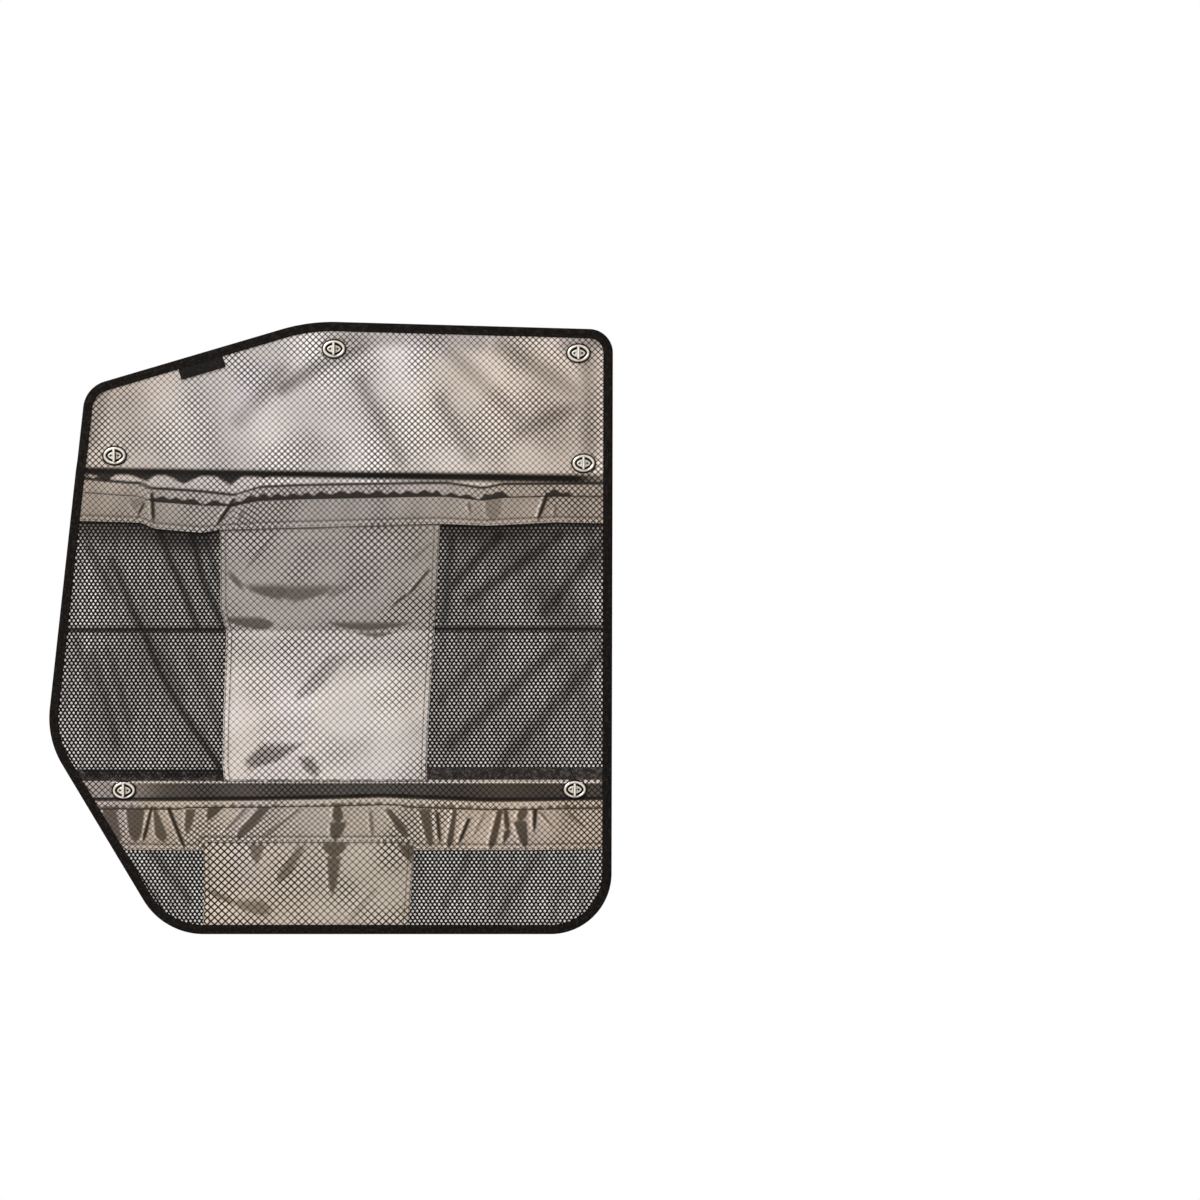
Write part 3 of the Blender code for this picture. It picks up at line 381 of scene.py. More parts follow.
def ripstop(name, strength, bright, dull, brown, in_folds, thread=0.36, reads_shade=True, glare=0.0):
    """Silver ripstop. Brown is how warm its painted shade is, and in_folds how far the grid shows in that shade.

    Thread is where a thread starts, as a share of the way from one thread to the next. Glare is how far a painted sheen
    hides the grid where the painted light is brightest. A cloth not set to read shade ignores its points' painted
    light.
    """
    finish = Finish(name, Specular_IOR_Level=0.14)
    u, v, clean = finish.place_on_cloth()
    # Painted light: silver behind a net is painted plain and bright.
    behind = clean.step(BEHIND_NET - 0.5, BEHIND_NET - 0.4)
    clean = clean - behind * BEHIND_NET
    behind = behind if reads_shade else behind * 0.0
    clean = clean if reads_shade else finish.noise(4.0, 1.0) * 0.2 + 0.85
    drift = finish.noise(28.0) - 0.5
    across = (u + drift * 0.0005) * (1 / DIAMOND_WIDTH)
    up = (v + drift * 0.0004) * (1 / DIAMOND_HEIGHT)
    threads, from_middles = [], []
    for line in (across + up, across - up):
        from_middle = (line.math('FRACT') - 0.5).math('ABSOLUTE')
        threads.append(from_middle.step(thread, thread + 0.07))
        from_middles.append(from_middle)
    zones = finish.noise(13.0, 1.5).step(0.38, 0.60) if reads_shade else finish.noise(13.0, 1.5) * 0.2 + 0.8
    # The grid fades in deep painted shade, and under the painted sheen that glare sets.
    seen = (zones * 0.42 + 0.58) * (clean.step(0.10, 0.36) * (1 - in_folds) + in_folds) * (1 - behind * 0.8)
    seen = seen * (1 - clean.step(0.60, 0.85) * glare)
    grid = threads[0].math('MAXIMUM', threads[1])
    crossing = threads[0] * threads[1] * seen.math('MAXIMUM', 0.5)
    outward = from_middles[0].math('MAXIMUM', from_middles[1])
    centre = (1 - outward.step(0.10, 0.24)) * (1 - zones) * 0.55 * seen
    weave = finish.noise(2600.0, 0.0)
    cell = finish.colour(outward.step(0.05, 0.34), bright, dull)
    warm = (u + 0.03).math('ABSOLUTE').step(0.06, 0.26) * 0.6 + finish.noise(5.0, 1.0).step(0.45, 0.75) * 0.4
    cell = finish.colour(warm, cell, linear(240, 218, 197))
    cell = finish.colour(finish.noise(8.5, 1.0).step(0.52, 0.80) * 0.5, cell, linear(214, 208, 224))
    cell = finish.colour(behind, cell, linear(252, 246, 242))
    cell = finish.colour(centre, cell, linear(60, 52, 48))
    lined = finish.colour(grid * seen * 0.98, cell, linear(22, 17, 15))
    dotted = finish.colour(crossing, lined, linear(8, 6, 5))
    cloudy = finish.noise(9.0, 3.0)
    # The cloth's tone varies, and each point's painted light and shade multiply it.
    tone_and_painted_light = ((cloudy - 0.5) * 0.25 + (weave - 0.5) * 0.16 + strength) * clean
    crinkle = finish.noise(140.0, 3.0)
    finish.relief(grid * 0.5 + crinkle * 0.9 + weave * 0.15, 0.0004)
    silver = finish.tint(dotted, tone_and_painted_light, clean, brown)
    return finish.feed(Base_Color=silver, Roughness=grid * 0.22 + crinkle * 0.10 + 0.36)


silver_panel = ripstop("silver_ripstop", 0.99, linear(246, 239, 235), linear(226, 219, 215),
                       brown=0.45, in_folds=0.90, thread=0.34)
silver_cool = ripstop("silver_ripstop_cool", 1.04, linear(240, 234, 229), linear(220, 214, 209),
                      brown=0.62, in_folds=0.40, thread=0.335, glare=0.40)
silver_lining = ripstop("silver_ripstop_back", 0.90, linear(214, 209, 206), linear(188, 184, 181),
                        brown=0.5, in_folds=1.0, reads_shade=False)
silver_warm = ripstop("silver_ripstop_warm", 1.04, linear(240, 227, 211), linear(216, 204, 189),
                      brown=0.80, in_folds=0.35, thread=0.32)
print("ripstop finishes made")

# %% [markdown]
# ## Black tape, net, elastic and thread
#
# The edge tape and the hems are woven twill: fine slanting ribs, very dark and dull. The net is knitted from a dull
# black yarn, so it gets yarn-like streaks and no pattern, because its holes are real. Thread is the same yarn, finer,
# and the elastic and the label are the same twill with finer ribs.

# %% The black finishes
def twill(name, dark, light, rib):
    finish = Finish(name, Specular_IOR_Level=0.06)
    u, v, _ = finish.place_on_cloth()
    ribs = ((u + v * 0.8) * (1 / rib)).math('FRACT')
    ridge = (ribs - 0.5).math('ABSOLUTE').step(0.10, 0.45)
    rows = ((v * (1 / rib)).math('FRACT') - 0.5).math('ABSOLUTE').step(0.15, 0.5)
    fluff = finish.noise(420.0, 3.0)
    speckle = finish.noise(340.0, 3.0).step(0.48, 0.66)
    colour = finish.colour(ridge * 0.30 + fluff.step(0.35, 0.65) * 0.20 + speckle * 0.5, dark, light)
    finish.relief(ridge * 0.6 + rows * 0.4 + fluff * 0.5, 0.00025)
    return finish.feed(Base_Color=colour, Roughness=fluff * 0.2 + 0.68)


def yarn(name, dark, light, scale):
    finish = Finish(name, Specular_IOR_Level=0.08)
    strands = finish.noise(scale, 3.0)
    patches = finish.noise(16.0)
    colour = finish.colour(strands * 0.6 + patches * 0.4, dark, light)
    finish.relief(strands, 0.0002)
    return finish.feed(Base_Color=colour, Roughness=strands * 0.2 + 0.55)


black_tape = twill("black_tape", linear(1, 1, 1), linear(38, 33, 30), rib=0.0026)
black_hem = twill("black_hem", linear(1, 1, 1), linear(84, 77, 74), rib=0.0026)
label_cloth = twill("label_cloth", linear(22, 20, 20), linear(44, 41, 40), rib=0.0005)
elastic_cloth = twill("elastic_cloth", linear(40, 40, 40), linear(80, 80, 80), rib=0.0008)
black_net = yarn("black_net", linear(5, 4, 4), linear(22, 19, 18), scale=900.0)
dark_thread = yarn("dark_thread", linear(14, 12, 11), linear(44, 40, 37), scale=1500.0)
light_thread = yarn("light_thread", linear(205, 200, 194), linear(248, 244, 238), scale=1500.0)
print("cloth finishes:", len(bpy.data.materials))

# %% [markdown]
# ## Nickel plate
#
# The turn buttons are pressed steel with bright nickel plate. It is smooth with faint scratches, so it mirrors the
# white studio, and a plain metal would look flat white. What makes it read as metal is dark reflection and shade,
# painted into its colour: on steep sides, on sides that turn down and right, and in the gaps. The first two come
# from the surface's direction, and the gaps from the painted light and shade that each point carries. Where that is
# dark, the metal loses its mirror too.

# %% The nickel finish
def nickel(name, reads_shade):
    finish = Finish(name, Metallic=1.0, Specular_IOR_Level=0.1)
    scratches = finish.noise(700.0, 4.0)
    patches = finish.noise(120.0, 2.0)
    facing = finish.node("ShaderNodeTexCoord", {}, {}, 1)
    right, out, up = finish.node("ShaderNodeSeparateXYZ", {}, {0: facing}, (0, 1, 2))
    # Painted reflection and shade: steep sides, and sides that face down and right, are painted darker.
    level = out.math('ABSOLUTE').step(0.15, 0.80)
    upper_left = (up - right).step(-1.2, 0.2)
    bright = finish.colour(patches, linear(250, 244, 232), linear(216, 207, 192))
    turned = finish.colour(upper_left, linear(150, 141, 128), bright)
    shaped = finish.colour(level, linear(52, 45, 39), turned)
    finish.relief(scratches, 0.00004)
    if not reads_shade:
        return finish.feed(Base_Color=shaped, Roughness=scratches * 0.12 + 0.26)
    # Painted shade in the gaps, the screw holes and on the ring's foot, where the metal also loses its mirror.
    painted_dark = 1 - finish.place_on_cloth()[2]
    darkened_metal = finish.colour(painted_dark, shaped, linear(14, 11, 10))
    return finish.feed(Base_Color=darkened_metal, Roughness=scratches * 0.12 + painted_dark * 0.3 + 0.24, Metallic=1 - painted_dark)


nickel_plate = nickel("nickel_plate", True)
nickel_back = nickel("nickel_plate_back", False)
print("nickel finishes made")

# %% [markdown]
# ## The two pockets
#
# A pocket's front wall lies flat on the panel where it is sewn down, at its base and under the tape, and stands off it
# in between, so that things go in. The stand-off is a smooth rise from each seam, times the pocket's depth. The pouch
# was folded in quarters, which leaves a crease across the upper pocket and a deep one just above its mouth.

# %% The surfaces that the pockets' walls follow
CLOTH = 0.0006
CREASE_SHARE, CREASE_WIDTH = 0.2, 0.0045
UPPER_MOUTH_LINE = (
    (-0.88, 0.0070), (-0.74, 0.0030), (-0.68, 0.0020), (-0.64, -0.0030), (-0.47, -0.0060), (-0.34, -0.0100),
    (-0.31, -0.0070), (-0.25, -0.0020), (-0.11, 0.0000), (0.31, 0.0020), (0.42, 0.0020), (0.54, -0.0030),
    (0.61, 0.0010), (1.0, 0.0020),
)
UPPER_HEM_LINE = (
    (-0.89, 0.0060), (-0.67, 0.0040), (-0.62, -0.0020), (-0.50, -0.0050), (-0.45, -0.0060), (-0.39, -0.0030),
    (0.0, 0.0000), (0.38, 0.0030), (0.55, 0.0010), (0.60, 0.0015), (0.80, 0.0045), (1.0, 0.0035),
)
LOWER_MOUTH_LINE = ((-0.85, -0.0010), (-0.30, 0.0000), (0.0, 0.0015), (0.18, 0.0032), (0.55, -0.0010), (1.0, 0.0000))
LOWER_HEM_LINE = ((-0.80, -0.0005), (-0.460, -0.0005), (-0.440, 0.0085), (0.29, 0.0085), (0.30, 0.0), (1.0, 0.0))
UPPER = {"depth": 0.0100, "base": -0.1540, "rise": 0.070, "mouth": 0.1420, "band": 0.0410, "crease": -0.0025,
         "mouth_line": UPPER_MOUTH_LINE, "hem_line": UPPER_HEM_LINE}
LOWER = {"depth": 0.0085, "base": -0.3060, "rise": 0.090, "mouth": -0.1710, "band": 0.0500, "crease": None,
         "mouth_line": LOWER_MOUTH_LINE, "hem_line": LOWER_HEM_LINE}
HALF_WIDTH = 0.2815


def mouth_at(pocket, x):
    """The height of a pocket's mouth at x. Its line gives offsets by shares of the pouch's half width."""
    return pocket["mouth"] + read_line(pocket["mouth_line"], x / HALF_WIDTH)


def hem_at(pocket, x):
    return pocket["mouth"] - pocket["band"] + read_line(pocket["hem_line"], x / HALF_WIDTH)


def off_tape(x, z, over, past=0.0):
    """0 under the edge tape, and up to 1 over a short way inside it, so that folds fade out where the tape holds."""
    return smooth((edge_distance(x, z) - TAPE_WIDTH + past) / over)


def wall(pocket, x, z):
    """How far the pocket's front wall stands out from the panel."""
    side = off_tape(x, z, 0.090, past=-0.0004)
    rise = smooth((z - pocket["base"]) / pocket["rise"])
    crease = 0
    if pocket["crease"] is not None:
        crease = CREASE_SHARE * np.clip(1 - np.abs(z - pocket["crease"]) / CREASE_WIDTH, 0, 1) ** 1.5
    return CLOTH / 2 + pocket["depth"] * side * rise * (1 - crease)


print("upper pocket stands out", round(float(wall(UPPER, np.array(0.0), np.array(0.05))) * 1000, 1), "mm")

# %% [markdown]
# ## Folds
#
# A soft fold is a ridge along a line, highest on the line and level with the cloth at some distance from it. Pairs of
# pixels read off the photograph become such lines: one pixel is one millimetre on the pouch.

# %% Ridges along measured lines
MIDDLE_PIXEL = (331.5, 628)


def spot(px, py):
    """A pixel of the photograph as a place on the pouch, in metres."""
    return (px - MIDDLE_PIXEL[0]) / 1000, (MIDDLE_PIXEL[1] - py) / 1000


def pixel_of(x, z):
    """A place on the pouch as a pixel of the photograph."""
    return x * 1000 + MIDDLE_PIXEL[0], MIDDLE_PIXEL[1] - z * 1000


def ridge(x, z, start, end, width, height):
    (ax, az), (bx, bz) = spot(*start), spot(*end)
    run_x, run_z = bx - ax, bz - az
    share = np.clip(((x - ax) * run_x + (z - az) * run_z) / (run_x ** 2 + run_z ** 2), 0, 1)
    away = np.hypot(x - ax - run_x * share, z - az - run_z * share)
    return height * smooth(1 - away / width)


def ridges(x, z, lines):
    """The highest of several ridges, less the deepest of several grooves."""
    up, down = np.zeros_like(x), np.zeros_like(x)
    for start, end, width, height in lines:
        made = ridge(x, z, start, end, width, height)
        up, down = np.maximum(up, made), np.minimum(down, made)
    return up + down


def chain(points, half_widths, sizes):
    """Lines from each point to the next, for a fold that bends."""
    return zip(points, points[1:], half_widths, sizes)


LONG_FOLD = ((133, 611), (144, 633), (156, 663), (176, 701), (199, 736), (216, 761), (222, 775))


def ripple(x, z, size, seed):
    """Gentle waves with no pattern that the eye finds: a few slanting sines added up."""
    total = np.zeros_like(x)
    for k in range(5):
        angle = seed + 2.4 * k
        pitch = size * (0.7 + 0.23 * k)
        total = total + np.sin((x * cos(angle) + z * sin(angle)) * 2 * pi / pitch + seed * (k + 1)) / (k + 2)
    return total / 1.5


def patches(x, z, facets):
    """Painted shade on the narrow facets of folds, their height, and a painted highlight beside them: strips between
    heights.

    A facet is (top, left, right, bottom, left, right, darkness of its painted shade, softness, height in mm), in
    pixels.
    """
    px, py = pixel_of(x, z)
    dark, high, lit = (np.zeros_like(x) for _ in range(3))
    for top, left0, right0, bottom, left1, right1, depth, softness, height in facets:
        share = (py - top) / (bottom - top)
        left, right = mix(left0, left1, share), mix(right0, right1, share)
        ends = np.minimum(py - top, bottom - py)
        pointed = (right - left) / 2 * np.clip(1 - (bottom - py) / 9, 0, 1) ** 1.5
        inside = np.minimum(np.minimum(px - left, right - px) - pointed, ends)
        dark = np.maximum(dark, depth * smooth(inside / softness + 0.5))
        rise = smooth(1 - (left - px) / 4)
        fall = np.clip((right + 0.5 - px) / np.maximum(right + 0.5 - left, 1), 0, 1)
        high = np.maximum(high, height / 1000 * np.where(px < left, rise, fall) * smooth(ends / 6 + 0.3))
        # A painted highlight just left of each facet.
        lit = np.maximum(lit, depth * line_at(left + pointed - 1.8 - px, 1.5, core=1.3) * smooth(ends / 5))
    return dark, high, lit


def facet_shades(x, z, facets):
    """How much painted shade and painted highlight facets give the cloth. The shade is drawn a little stronger than it
    was read.
    """
    dark, _, lit = patches(x, z, facets)
    return np.minimum(dark * 1.22, 0.96), lit


print("fold helpers ready")

# %% [markdown]
# ## The back panel
#
# The panel is the one sheet that everything is sewn to. It runs under the tape on every side. The packing fold crosses
# it above the upper pocket: the cloth drops by a steep face that looks down, and climbs back slowly below, in small
# flat facets. The fold's dark line, and the dark triangles below it, are also painted shade, further on.

# %% Places of the turn buttons
BUTTONS = {
    "top_middle": (0.0025, 0.27900),
    "top_right": (0.2470, 0.27475),
    "side_left": (-0.216867, 0.172235),
    "side_right": (0.252141, 0.164590),
    "low_left": (-0.207512, -0.162500),
    "low_right": (0.243356, -0.161500),
}
EYELET_SIZE = (0.0225, 0.0176)
print("turn buttons:", ", ".join(BUTTONS))

# %% The panel's shape
FOLD_FACETS = ((70, 101, 0.8), (101, 122, 0.9), (122, 155, 1.3), (163, 208, 1.5), (212, 248, 1.4), (250, 275, 0.8))
FOLD_TOP, FOLD_END, FOLD_DROP = 0.0022, -0.0165, 0.0023
FACE_HEIGHT, FACET_HEIGHT = 0.0044, 0.0035


def fold_line(x):
    """The packing fold's height at x. It slants a little."""
    return 0.1537 - 0.0163 * x


def panel_depth(x, z):
    """The panel's front: nearly level, with the packing fold across it."""
    above = z - fold_line(x)
    px = pixel_of(x, z)[0]
    facets = np.zeros_like(x)
    for start, end, size in FOLD_FACETS:
        facets = np.maximum(facets, size * np.clip(1 - np.abs(px - (start + end) / 2) / ((end - start) / 2), 0, 1))
    face = FACE_HEIGHT + FACET_HEIGHT * np.minimum(facets, 1)
    falling = np.clip((FOLD_TOP - above) / face, 0, 1)
    rising = np.clip((above - FOLD_END) / (FOLD_TOP - FOLD_END - face), 0, 1)
    fade = off_tape(x, z, 0.004, past=0.001)
    fold = -FOLD_DROP * np.minimum(falling, rising) * fade
    soft = 0.00022 * ripple(x, z, 0.060, 1.3) * fade
    return fold + soft


print("packing fold at mid width:", round(fold_line(0.0) * 1000, 1), "mm above the middle")

# %% [markdown]
# ## Where the panel is dark
#
# The shade in the panel's folds, creases and seams, and round its overlaps, is painted into its colour. A painted
# picture could show it, but it would blur close up. Here each painted shade is a line or a shape between measured
# pixels, worked out at every point of the cloth. The tables give, for each fold, its ends, its half width in
# millimetres and its darkness.

# %% Tables of the panel's shades
# Dark triangles of painted shade below the packing fold: (start, lowest, end, depth in mm), in pixels.
TRIANGLES = ((84, 106, 120, 12.0), (119, 146, 160, 10.5), (159, 183, 208, 12.5), (208, 230, 246, 12.5),
             (247, 262, 278, 5.5))
SHADED_FOLDS = (
    *chain(LONG_FOLD, (6,) * 6, (0.92, *(0.94,) * 5)),
    ((112, 560), (133, 611), 7, 0.70), ((160, 530), (168, 556), 6, 0.85), ((168, 556), (183, 590), 6, 0.92),
    ((183, 590), (198, 628), 6, 0.88), ((192, 534), (203, 580), 6, 0.90), ((203, 580), (224, 628), 6, 0.90),
    ((206, 540), (224, 596), 5, 0.70), ((90, 548), (112, 592), 8, 0.55), ((66, 630), (224, 630), 5, 0.97),
    ((436, 629), (604, 629), 5, 0.97), ((92, 655), (118, 745), 10, 0.42), ((76, 640), (88, 680), 8, 0.45),
    ((108, 650), (130, 720), 8, 0.38), ((150, 640), (182, 690), 9, 0.40), ((190, 650), (222, 735), 10, 0.36),
    ((600, 545), (545, 612), 11, 0.55), ((560, 535), (470, 600), 10, 0.62), ((500, 535), (452, 585), 9, 0.66),
    ((452, 540), (444, 620), 8, 0.58), ((605, 650), (500, 765), 13, 0.50), ((560, 645), (450, 745), 12, 0.54),
    ((500, 640), (440, 700), 10, 0.36), ((150, 850), (190, 900), 8, 0.46), ((125, 855), (160, 905), 7, 0.42),
    ((470, 852), (445, 905), 8, 0.36), ((540, 852), (500, 915), 9, 0.36), ((560, 890), (552, 925), 6, 0.40),
)
SEAM_PIXELS = {
    "upper": ((520, 608, 633, 700, 765, 785), (221.8, 222.2, 228.4, 226.0, 223.2, 225.0),
              (441.0, 437.0, 435.0, 430.5, 427.0, 427.0)),
    "lower": ((835, 848, 921, 940), (205.4, 205.2, 204.0, 203.8), (415.2, 414.8, 409.0, 408.0)),
}
# Wide, faint painted shade.
SOFT_SHADES = (
    ((90, 440), (104, 372), 16, 0.30), ((282, 388), (318, 366), 14, 0.42), ((318, 366), (366, 344), 14, 0.36),
    ((240, 420), (282, 372), 16, 0.24), ((330, 340), (400, 338), 16, 0.34), ((400, 336), (480, 342), 18, 0.26),
    ((450, 350), (520, 420), 16, 0.24), ((500, 345), (575, 390), 18, 0.30), ((520, 430), (590, 400), 16, 0.26),
    ((360, 380), (400, 460), 14, 0.22), ((586, 350), (590, 450), 16, 0.34), ((440, 400), (470, 455), 14, 0.20),
    ((566, 345), (600, 342), 14, 0.34), ((470, 545), (600, 560), 34, 0.36), ((545, 590), (600, 640), 36, 0.30),
    ((575, 660), (602, 740), 30, 0.20), ((90, 540), (200, 545), 20, 0.20),
)


print("shades:", len(SHADED_FOLDS), "sharp,", len(SOFT_SHADES), "soft and", len(TRIANGLES), "triangles")

# %% Work the shades out
def strips(x, z, folds):
    """The darkest of several soft lines of painted shade: (start, end, half width in mm, darkness)."""
    dark = np.zeros_like(x)
    for start, end, half, depth in folds:
        dark = np.maximum(dark, ridge(x, z, start, end, half / 1000, depth))
    return dark


def seam_x(name, z):
    """The middle panel's left and right seam at each height, read off the photograph."""
    heights, left, right = SEAM_PIXELS[name]
    py = pixel_of(0, z)[1]
    return [spot(np.interp(py, heights, side), 0)[0] for side in (left, right)]


def fold_shade(x, z):
    """The painted shade of the packing fold's line, and of the dark triangles that hang below it."""
    px, below = pixel_of(x, z)[0], (fold_line(x) - z) * 1000
    thick = 3.6 + 0.8 * smooth((px - 300) / 200)
    line = 0.98 * line_at(below - 0.4, thick, core=1.5) * (1 - 0.38 * smooth((px - 575) / 30))
    hanging = np.zeros_like(x)
    for start, lowest, end, depth in TRIANGLES:
        reach = depth * np.clip(np.minimum((px - start) / (lowest - start), (end - px) / (end - lowest)), 0, 1)
        hanging = np.maximum(hanging, 0.96 * smooth((reach - below) / 0.8 + 0.3) * smooth((below + 1) / 1.5))
    return np.maximum(line, hanging)


def ring_shade(x, z):
    """A ring of painted shade where the cloth dips round each button."""
    rings = np.zeros_like(x)
    for button_x, button_z in BUTTONS.values():
        away = np.hypot(x - button_x, (z - button_z) * EYELET_SIZE[0] / EYELET_SIZE[1]) - EYELET_SIZE[0] / 2
        rings = np.maximum(rings, 0.8 * line_at(away, 0.0016, core=1.3))
    return rings


def brighter_behind_nets(x, z):
    """How much painted light brightens the panel where a net lies on it, and 0 elsewhere."""
    behind = np.zeros_like(x)
    for name, pocket, under_hem, lowest, gain in (("upper", UPPER, -2, -0.1492, 0.12),
                                                  ("lower", LOWER, -6, -1.0, 0.25)):
        left, right = seam_x(name, z)
        netted = ((x < left + 0.002) | (x > right - 0.002)) & ((hem_at(pocket, x) - z) * 1000 > under_hem)
        behind = np.where(netted & (z > lowest) & (behind == 0), gain, behind)
    return behind


def panel_painted_light(x, z):
    """Painted shade in the fold, above each mouth, under the upper hem and between the pockets; painted light behind
    nets.
    """
    px = pixel_of(x, z)[0]
    # Painted shade: a shadow line above each mouth, the strip between the pockets, the top's sides, a shadow under the
    # upper band's hem, soft patches, the folds and the rings.
    above_upper, above_lower = ((z - mouth_at(pocket, x)) * 1000 - 0.9 for pocket in (UPPER, LOWER))
    lip = 0.95 * line_at(above_upper, 1.3, core=1.7) + 0.97 * line_at(above_lower, 1.1, core=1.9)
    gap = smooth((z + 0.1760) / 0.003) * smooth((-0.1530 - z) / 0.003)
    gap = gap * (0.88 - 0.40 * smooth((170 - px) / 60) + 0.03 * smooth((px - 420) / 40))
    sides = 0.13 * smooth((px - 430) / 150) * smooth((z - 0.16) / 0.04)
    sides = sides + 0.22 * smooth((360 - px) / 200) * smooth((z - 0.10) / 0.02)
    from_hem = (hem_at(UPPER, x) - z) * 1000
    under = 0.66 * smooth(1 - (from_hem - 6) / 20) + 0.30 * line_at(from_hem - 1.2, 1.4, core=1.6)
    under = under * (from_hem > -4)
    soft = 0.18 * (1 - ripple(x, z, 0.110, 0.4)) + strips(x, z, SOFT_SHADES)
    deep = np.maximum(fold_shade(x, z), np.maximum(ring_shade(x, z), strips(x, z, SHADED_FOLDS)))
    rest = (1 - np.minimum(lip, 0.985)) * (1 - gap) * (1 - sides) * (1 - under) * (1 - soft)
    behind = brighter_behind_nets(x, z)
    return np.clip((1 - deep) * rest * (1 + behind), 0.015, 1.12) + BEHIND_NET * (behind > 0)


print("clean in the middle of the top:", round(float(panel_painted_light(*np.array([[0.0], [0.25]]))[0]), 2))

# %% [markdown]
# ## Lay out the panel
#
# Sharp folds need rows of points close together, and plain cloth behind a pocket does not. So the rows have their own
# spacing, which we give as heights where a new spacing starts. The sheet's rear takes a second, plainer silver.

# %% The panel
UNDER_TAPE = 0.0030
PANEL_ROWS = (
    (-0.3029, 0.0040), (-0.2160, 0.0055), (-0.1785, 0.0012), (-0.1490, 0.0040), (-0.0090, 0.0016), (0.0050, 0.0040),
    (0.0900, 0.0016), (0.1160, 0.0040), (0.1280, 0.0012), (0.1700, 0.0024), (0.3036, 0.0024),
)


def heights_for_panel():
    """Rows of the panel, close together at its folds and between the pockets, and wide apart behind them."""
    border = edge_path(UNDER_TAPE, 0.006)[:, 1]
    rows = [np.arange(start, end - step * 0.4, step) for (start, step), (end, _) in zip(PANEL_ROWS, PANEL_ROWS[1:])]
    rows = np.concatenate(rows)
    low, high = border.min() + 0.0001, border.max() - 0.0001
    return np.concatenate([[low], rows[(rows > low + 0.0006) & (rows < high - 0.0006)], [high]])


rows = heights_for_panel()
panel_x, panel_z = spread(rows, sides_at(rows, UNDER_TAPE), np.linspace(0, 1, 172))
panel_out = panel_depth(panel_x, panel_z)
panel = cloth("panel_cloth", panel_x, panel_out, panel_z, panel_x, panel_z, 0.0016, silver_panel,
              ["back_panel"],
              panel_painted_light(panel_x, panel_z))
panel.data.materials.append(silver_lining)
panel.modifiers["cloth thickness"].material_offset = 1

# %% [markdown]
# ## Holes for the buttons
#
# Real eyelets are pressed through punched holes. A Boolean would cut them, but leaves ragged little faces. We leave out
# the grid's faces inside each button's oval, and draw the points round the gap onto that oval.

# %% The holes for the buttons
def open_hole(piece, centre, size):
    """Leave out the faces inside an oval, and draw the points round the gap onto it."""
    def reach(point):
        return hypot((point.x - centre[0]) / size[0], (point.z - centre[1]) / size[1])

    with edited(piece.data) as bm:
        gone = [f for f in bm.faces if reach(f.calc_center_median()) < 1]
        rim = {v for f in gone for v in f.verts}
        bmesh.ops.delete(bm, geom=gone, context='FACES')
        for vert in rim:
            if vert.is_valid and vert.link_faces:
                out = reach(vert.co)
                vert.co.x = centre[0] + (vert.co.x - centre[0]) / out
                vert.co.z = centre[1] + (vert.co.z - centre[1]) / out


EYELET_LAP = 0.0018
for centre in BUTTONS.values():
    open_hole(panel, centre, [side / 2 - EYELET_LAP for side in EYELET_SIZE])
print("panel:", len(panel.data.polygons), "faces with its holes")

# %% [markdown]
# ## The tape round the edge
#
# The binding is one long tape, folded in half over the raw edges of everything below it and sewn through. We carry a
# section round the edge: out along the front wing, round the fold and back along the rear wing. The wing stands
# further out below the fold line, because there it also holds the pockets' walls. The row of stitches pulls the tape
# down a little every 4 mm, so its inner border is slightly scalloped.

# %% Carry the tape's section round the edge
STITCH = 0.0040


def tape_front(z):
    """How far the front wing stands out: further below the packing fold, where it holds the pockets' walls too."""
    return mix(0.0011, 0.0030, smooth((0.1700 - z) / 0.014))


def distance_along(path):
    steps = np.linalg.norm(np.diff(path, axis=0), axis=1)
    return np.concatenate([[0], np.cumsum(steps)])


TAPE_SECTION = (
    (9.40, -0.30), (9.15, -0.05), (8.50, 0.02), (7.60, -0.16), (6.60, 0.02), (3.00, 0.04), (1.60, -0.10),
    (0.75, -0.38), (0.22, -0.90), (0.00, -1.80),
)
TAPE_STEP = 0.0016
outer, inner = edge_path(0, TAPE_STEP), edge_path(0.010, TAPE_STEP)
travelled = distance_along(outer)
pulled = 0.5 + 0.5 * np.cos(travelled * 2 * pi / STITCH)
columns = []
for side in (1, -1):
    for inset, drop in TAPE_SECTION[::side]:
        moved = inset + 0.45 * pulled * (inset > 9)
        path = outer + (inner - outer) * (moved / 10)[:, None]
        extra = drop - 0.12 * pulled * (6.5 < inset < 8.5)
        front = tape_front(path[:, 1]) if side == 1 else np.full(len(path), 0.0027)
        out = side * (front + extra / 1000)
        columns.append(np.stack([path[:, 0], out, path[:, 1]], axis=1))
tape = np.stack(columns, axis=1)
across = np.concatenate([[0], np.cumsum(np.linalg.norm(np.diff(tape[0], axis=0), axis=1))])
tape_piece = mesh_from("binding_tape", np.moveaxis(tape, -1, 0), grid_faces(*tape.shape[:2], join_rows=True),
                       np.repeat(travelled[:, None], tape.shape[1], axis=1),
                       np.repeat(across[None, :], len(tape), axis=0))
thicken(tape_piece, 0.0007)
fit(tape_piece, black_tape, ["edge_binding"])
print(f"tape: {travelled[-1]:.3f} m long, {across[-1] * 1000:.1f} mm wide before folding")

# %% [markdown]
# ## Stitches
#
# Every seam shows its thread. A stitch is a small rounded rod that dips into the cloth at both ends. One helper lays
# them along any row of points, at an even pitch. It is all one mesh, so hundreds of stitches stay cheap.

# %% Lay stitches along a row of points
ROD_SIDES = 4
RODS = ((-0.50, 0.40, -0.9), (-0.24, 0.95, 0.3), (0.24, 0.95, 0.3), (0.50, 0.40, -0.9))


